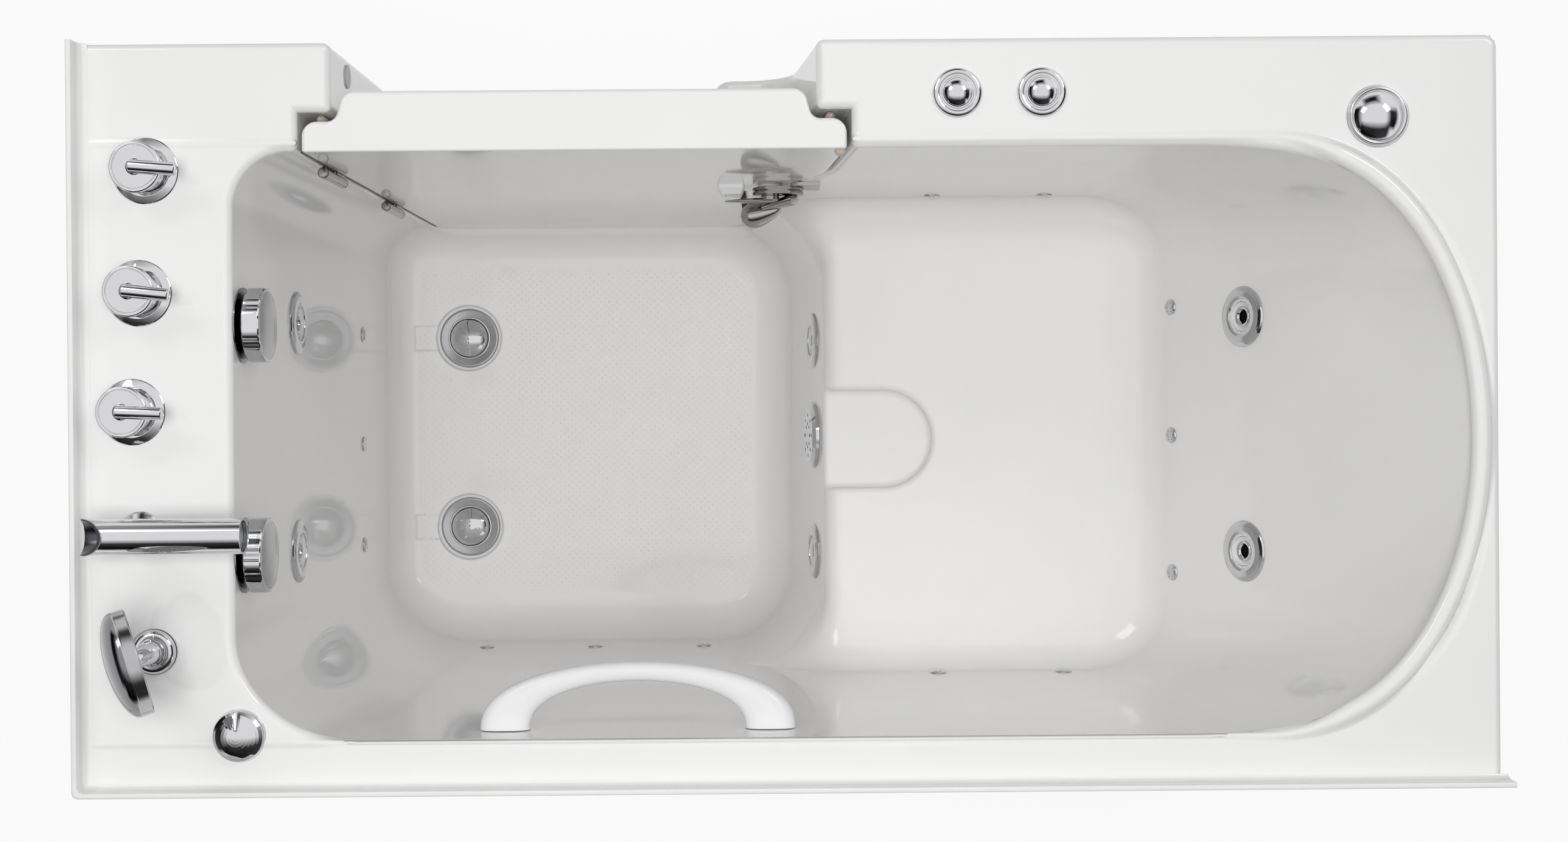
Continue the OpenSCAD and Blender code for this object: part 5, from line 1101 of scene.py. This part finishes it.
def flanges():
    """The upstand for wall tiles along the back and the foot, and the lips turned down."""
    edge = Shape()

    def row(f, z, inset=0.0):
        """Along the back and then the foot; f is 1 where the fillet meets the deck, and 0 above."""
        db, df = 6 + 5 * f + inset, 6 + 9 * f + inset
        return [(X_MIN, Y_MAX - db, z), (X_MAX - df - 6, Y_MAX - db, z),
                (X_MAX - df - 1.6, Y_MAX - db - 1.6, z), (X_MAX - df, Y_MAX - db - 6, z),
                (X_MAX - df, Y_MIN, z)]
    rings = [row(1 - math.sin(t), DECK_Z + .15 + 10 * (1 - math.cos(t)))
             for t in np.radians(np.linspace(0, 90, 9))]
    rings += [row(0, z, inset) for z, inset in (
        (FLANGE_TOP - 1.4, 0), (FLANGE_TOP - .4, -.4), (FLANGE_TOP, -1.4), (FLANGE_TOP, -4.6),
        (FLANGE_TOP - .4, -5.6), (FLANGE_TOP - 1.4, -6), (975, -6), (UNDER_DECK, -6),
        (UNDER_DECK, 0))]
    edge.skin(rings, "acrylic", closed=False)
    m, n = len(rings), len(rings[0])
    edge.faces.append(tuple(i * n + n - 1 for i in range(m)))
    edge.faces.append(tuple(i * n for i in range(m))[::-1])
    edge.kinds += [0, 0]
    lip = [(0, LIP_BOTTOM), (5.5, LIP_BOTTOM), (6, LIP_BOTTOM + .5), (6, UNDER_DECK - 1)]
    for x0, x1 in ((DECK_X0, -52), (512, X_MAX)):
        edge.skin([[(x0, Y_MIN + d, z), (x1, Y_MIN + d, z)] for d, z in lip], "acrylic",
                  closed=False)
    edge.skin([[(DECK_X0 + d, Y_MIN, z), (DECK_X0 + d, Y_MAX, z)] for d, z in lip], "acrylic",
              closed=False)
    edge.make("tile_flanges", "tub", "acrylic_white", sharp=50)


tub()
door()
taps()
spout()
hand_shower()
overflows()
drains()
jets()
deck_fittings()
latch()
hinge_details()
gasket()
grab_bar()
flanges()

# ---- materials of the CAD nodes kept
FINISH = {"frame": "support_frame", "wood": "equipment_board", "steel": "panel_screws",
          "panel": "apron_panels door_surround_panel", "keeper": "latch_keeper",
          "hinge": "hinge_frame_leaves hinge_door_leaves", "grey": "jamb_cap",
          "brass": "valve_bodies", "copper": "supply_pipes", "dark_chrome": "overflow_plates",
          "dark": "leveling_feet overflow_elbows drain_cables pump_wet_end air_blower",
          "pipe": "waste_pipes pump_pipes air_pipes", "blue": "pump_motor", "box": "control_box",
          "chrome": "suction_cover air_control_base air_control_knob"}
for key, names in FINISH.items():
    for name in names.split():
        for slot in nodes[name].material_slots:
            slot.material = M[key]


# ---- light and backdrop, in metres
def stage_material(name, color):
    mat = bpy.data.materials.new(name)
    mat.use_nodes = True
    shader = mat.node_tree.nodes["Principled BSDF"]
    fill(mat.node_tree, shader, {"Base Color": color, "Roughness": 0.9, "Specular IOR Level": 0.0})
    return mat, mat.node_tree, shader


def mixed(tree, share, first, second):
    """Makes the surface a mix of two shaders."""
    mix = add(tree, "MixShader", {0: share, 1: first.outputs[0], 2: second.outputs[0]})
    tree.links.new(mix.outputs[0], tree.nodes["Material Output"].inputs["Surface"])


def seen_rays(tree):
    """1 for the rays of the camera, of gloss and of glass, which see a white background."""
    rays = add(tree, "LightPath", {}).outputs
    seen = maths(tree, "MAXIMUM", rays["Is Camera Ray"], rays["Is Glossy Ray"])
    return maths(tree, "MAXIMUM", seen, rays["Is Transmission Ray"])


def card(name, size, mat):
    w, h = size[0] / 2, size[1] / 2
    me = bpy.data.meshes.new(name)
    me.from_pydata([(-w, -h, 0), (w, -h, 0), (w, h, 0), (-w, h, 0)], [], [(0, 1, 2, 3)])
    me.materials.append(mat)
    return linked(name, me)


def floor():
    mat, tree, shader = stage_material("floor_white", (0.94, 0.94, 0.94, 1))
    glow = add(tree, "Emission", {"Color": (1, 1, 1, 1)})
    mixed(tree, maths(tree, "MULTIPLY", seen_rays(tree), 0.90), shader, glow)
    card("floor", (24.0, 24.0), mat)


def world():
    scene.world = bpy.data.worlds.new("studio")
    scene.world.use_nodes = True
    tree = scene.world.node_tree
    level = add(tree, "MapRange", {"Value": seen_rays(tree), "To Min": 0.20, "To Max": 1.0})
    fill(tree, tree.nodes["Background"],
         {"Color": (1, 1, 1, 1), "Strength": level.outputs["Result"]})


def lamp(name, at, aim, size, power):
    data = bpy.data.lights.new(name, "AREA")
    data.shape = "RECTANGLE"
    data.size, data.size_y = size
    data.energy = power
    obj = linked(name, data)
    obj.location = at
    obj.rotation_euler = (Vector(aim) - Vector(at)).to_track_quat("-Z", "Y").to_euler()
    return obj


def dark_card(name, at, size, normal):
    """A dark flag with soft edges, which only metal and gloss show."""
    mat, tree, shader = stage_material(name, (0.1, 0.1, 0.1, 1))
    noise = add(tree, "TexNoise", {"Scale": 1.4, "Detail": 5.0}).outputs["Fac"]
    color = ramp(tree, noise, (0.012, 0.012, 0.013), (0.16, 0.16, 0.165), 0.38, 0.66)
    tree.links.new(color, shader.inputs["Base Color"])
    coords = add(tree, "TexCoord", {}).outputs["Object"]
    edge = 1.0
    for along, whole in zip(add(tree, "SeparateXYZ", {0: coords}).outputs, size):
        near = maths(tree, "SUBTRACT", whole / 2, maths(tree, "ABSOLUTE", along))
        edge = maths(tree, "MINIMUM", maths(tree, "MULTIPLY", near, 0.6), edge)
    mixed(tree, edge, add(tree, "BsdfTransparent", {}), shader)
    obj = card(name, size, mat)
    obj.location = at
    obj.rotation_euler = Vector(normal).to_track_quat("Z", "Y").to_euler()
    obj.visible_camera = obj.visible_diffuse = obj.visible_shadow = False


floor()
world()
lamp("key_left", (-2.4, -1.9, 3.4), (0, 0, 0.6), (1.4, 1.0), 17)
lamp("key_right", (2.2, -2.0, 3.4), (0, 0, 0.6), (1.4, 1.0), 12)
lamp("near_top", (0.15, 0.05, 3.65), (0.15, 0, 0.3), (1.3, 1.0), 46).visible_glossy = False
lamp("top", (0.0, 0.2, 4.3), (0, 0, 0.5), (3.4, 2.4), 9).visible_glossy = False
dark_card("dark_wall_side", (0.0, 3.1, 2.6), (10.0, 5.8), (0, -0.66, -0.75))
dark_card("dark_foot_side", (5.0, 0.0, 2.4), (10.0, 5.2), (-0.66, 0, -0.75))
dark_card("dark_seat_side", (-5.0, 0.3, 3.4), (7.0, 5.2), (0.75, 0, -0.66))
dark_card("dark_door_side", (0.6, -5.0, 3.0), (6.0, 4.4), (0, 0.78, -0.62))

scene.view_settings.view_transform = "Standard"
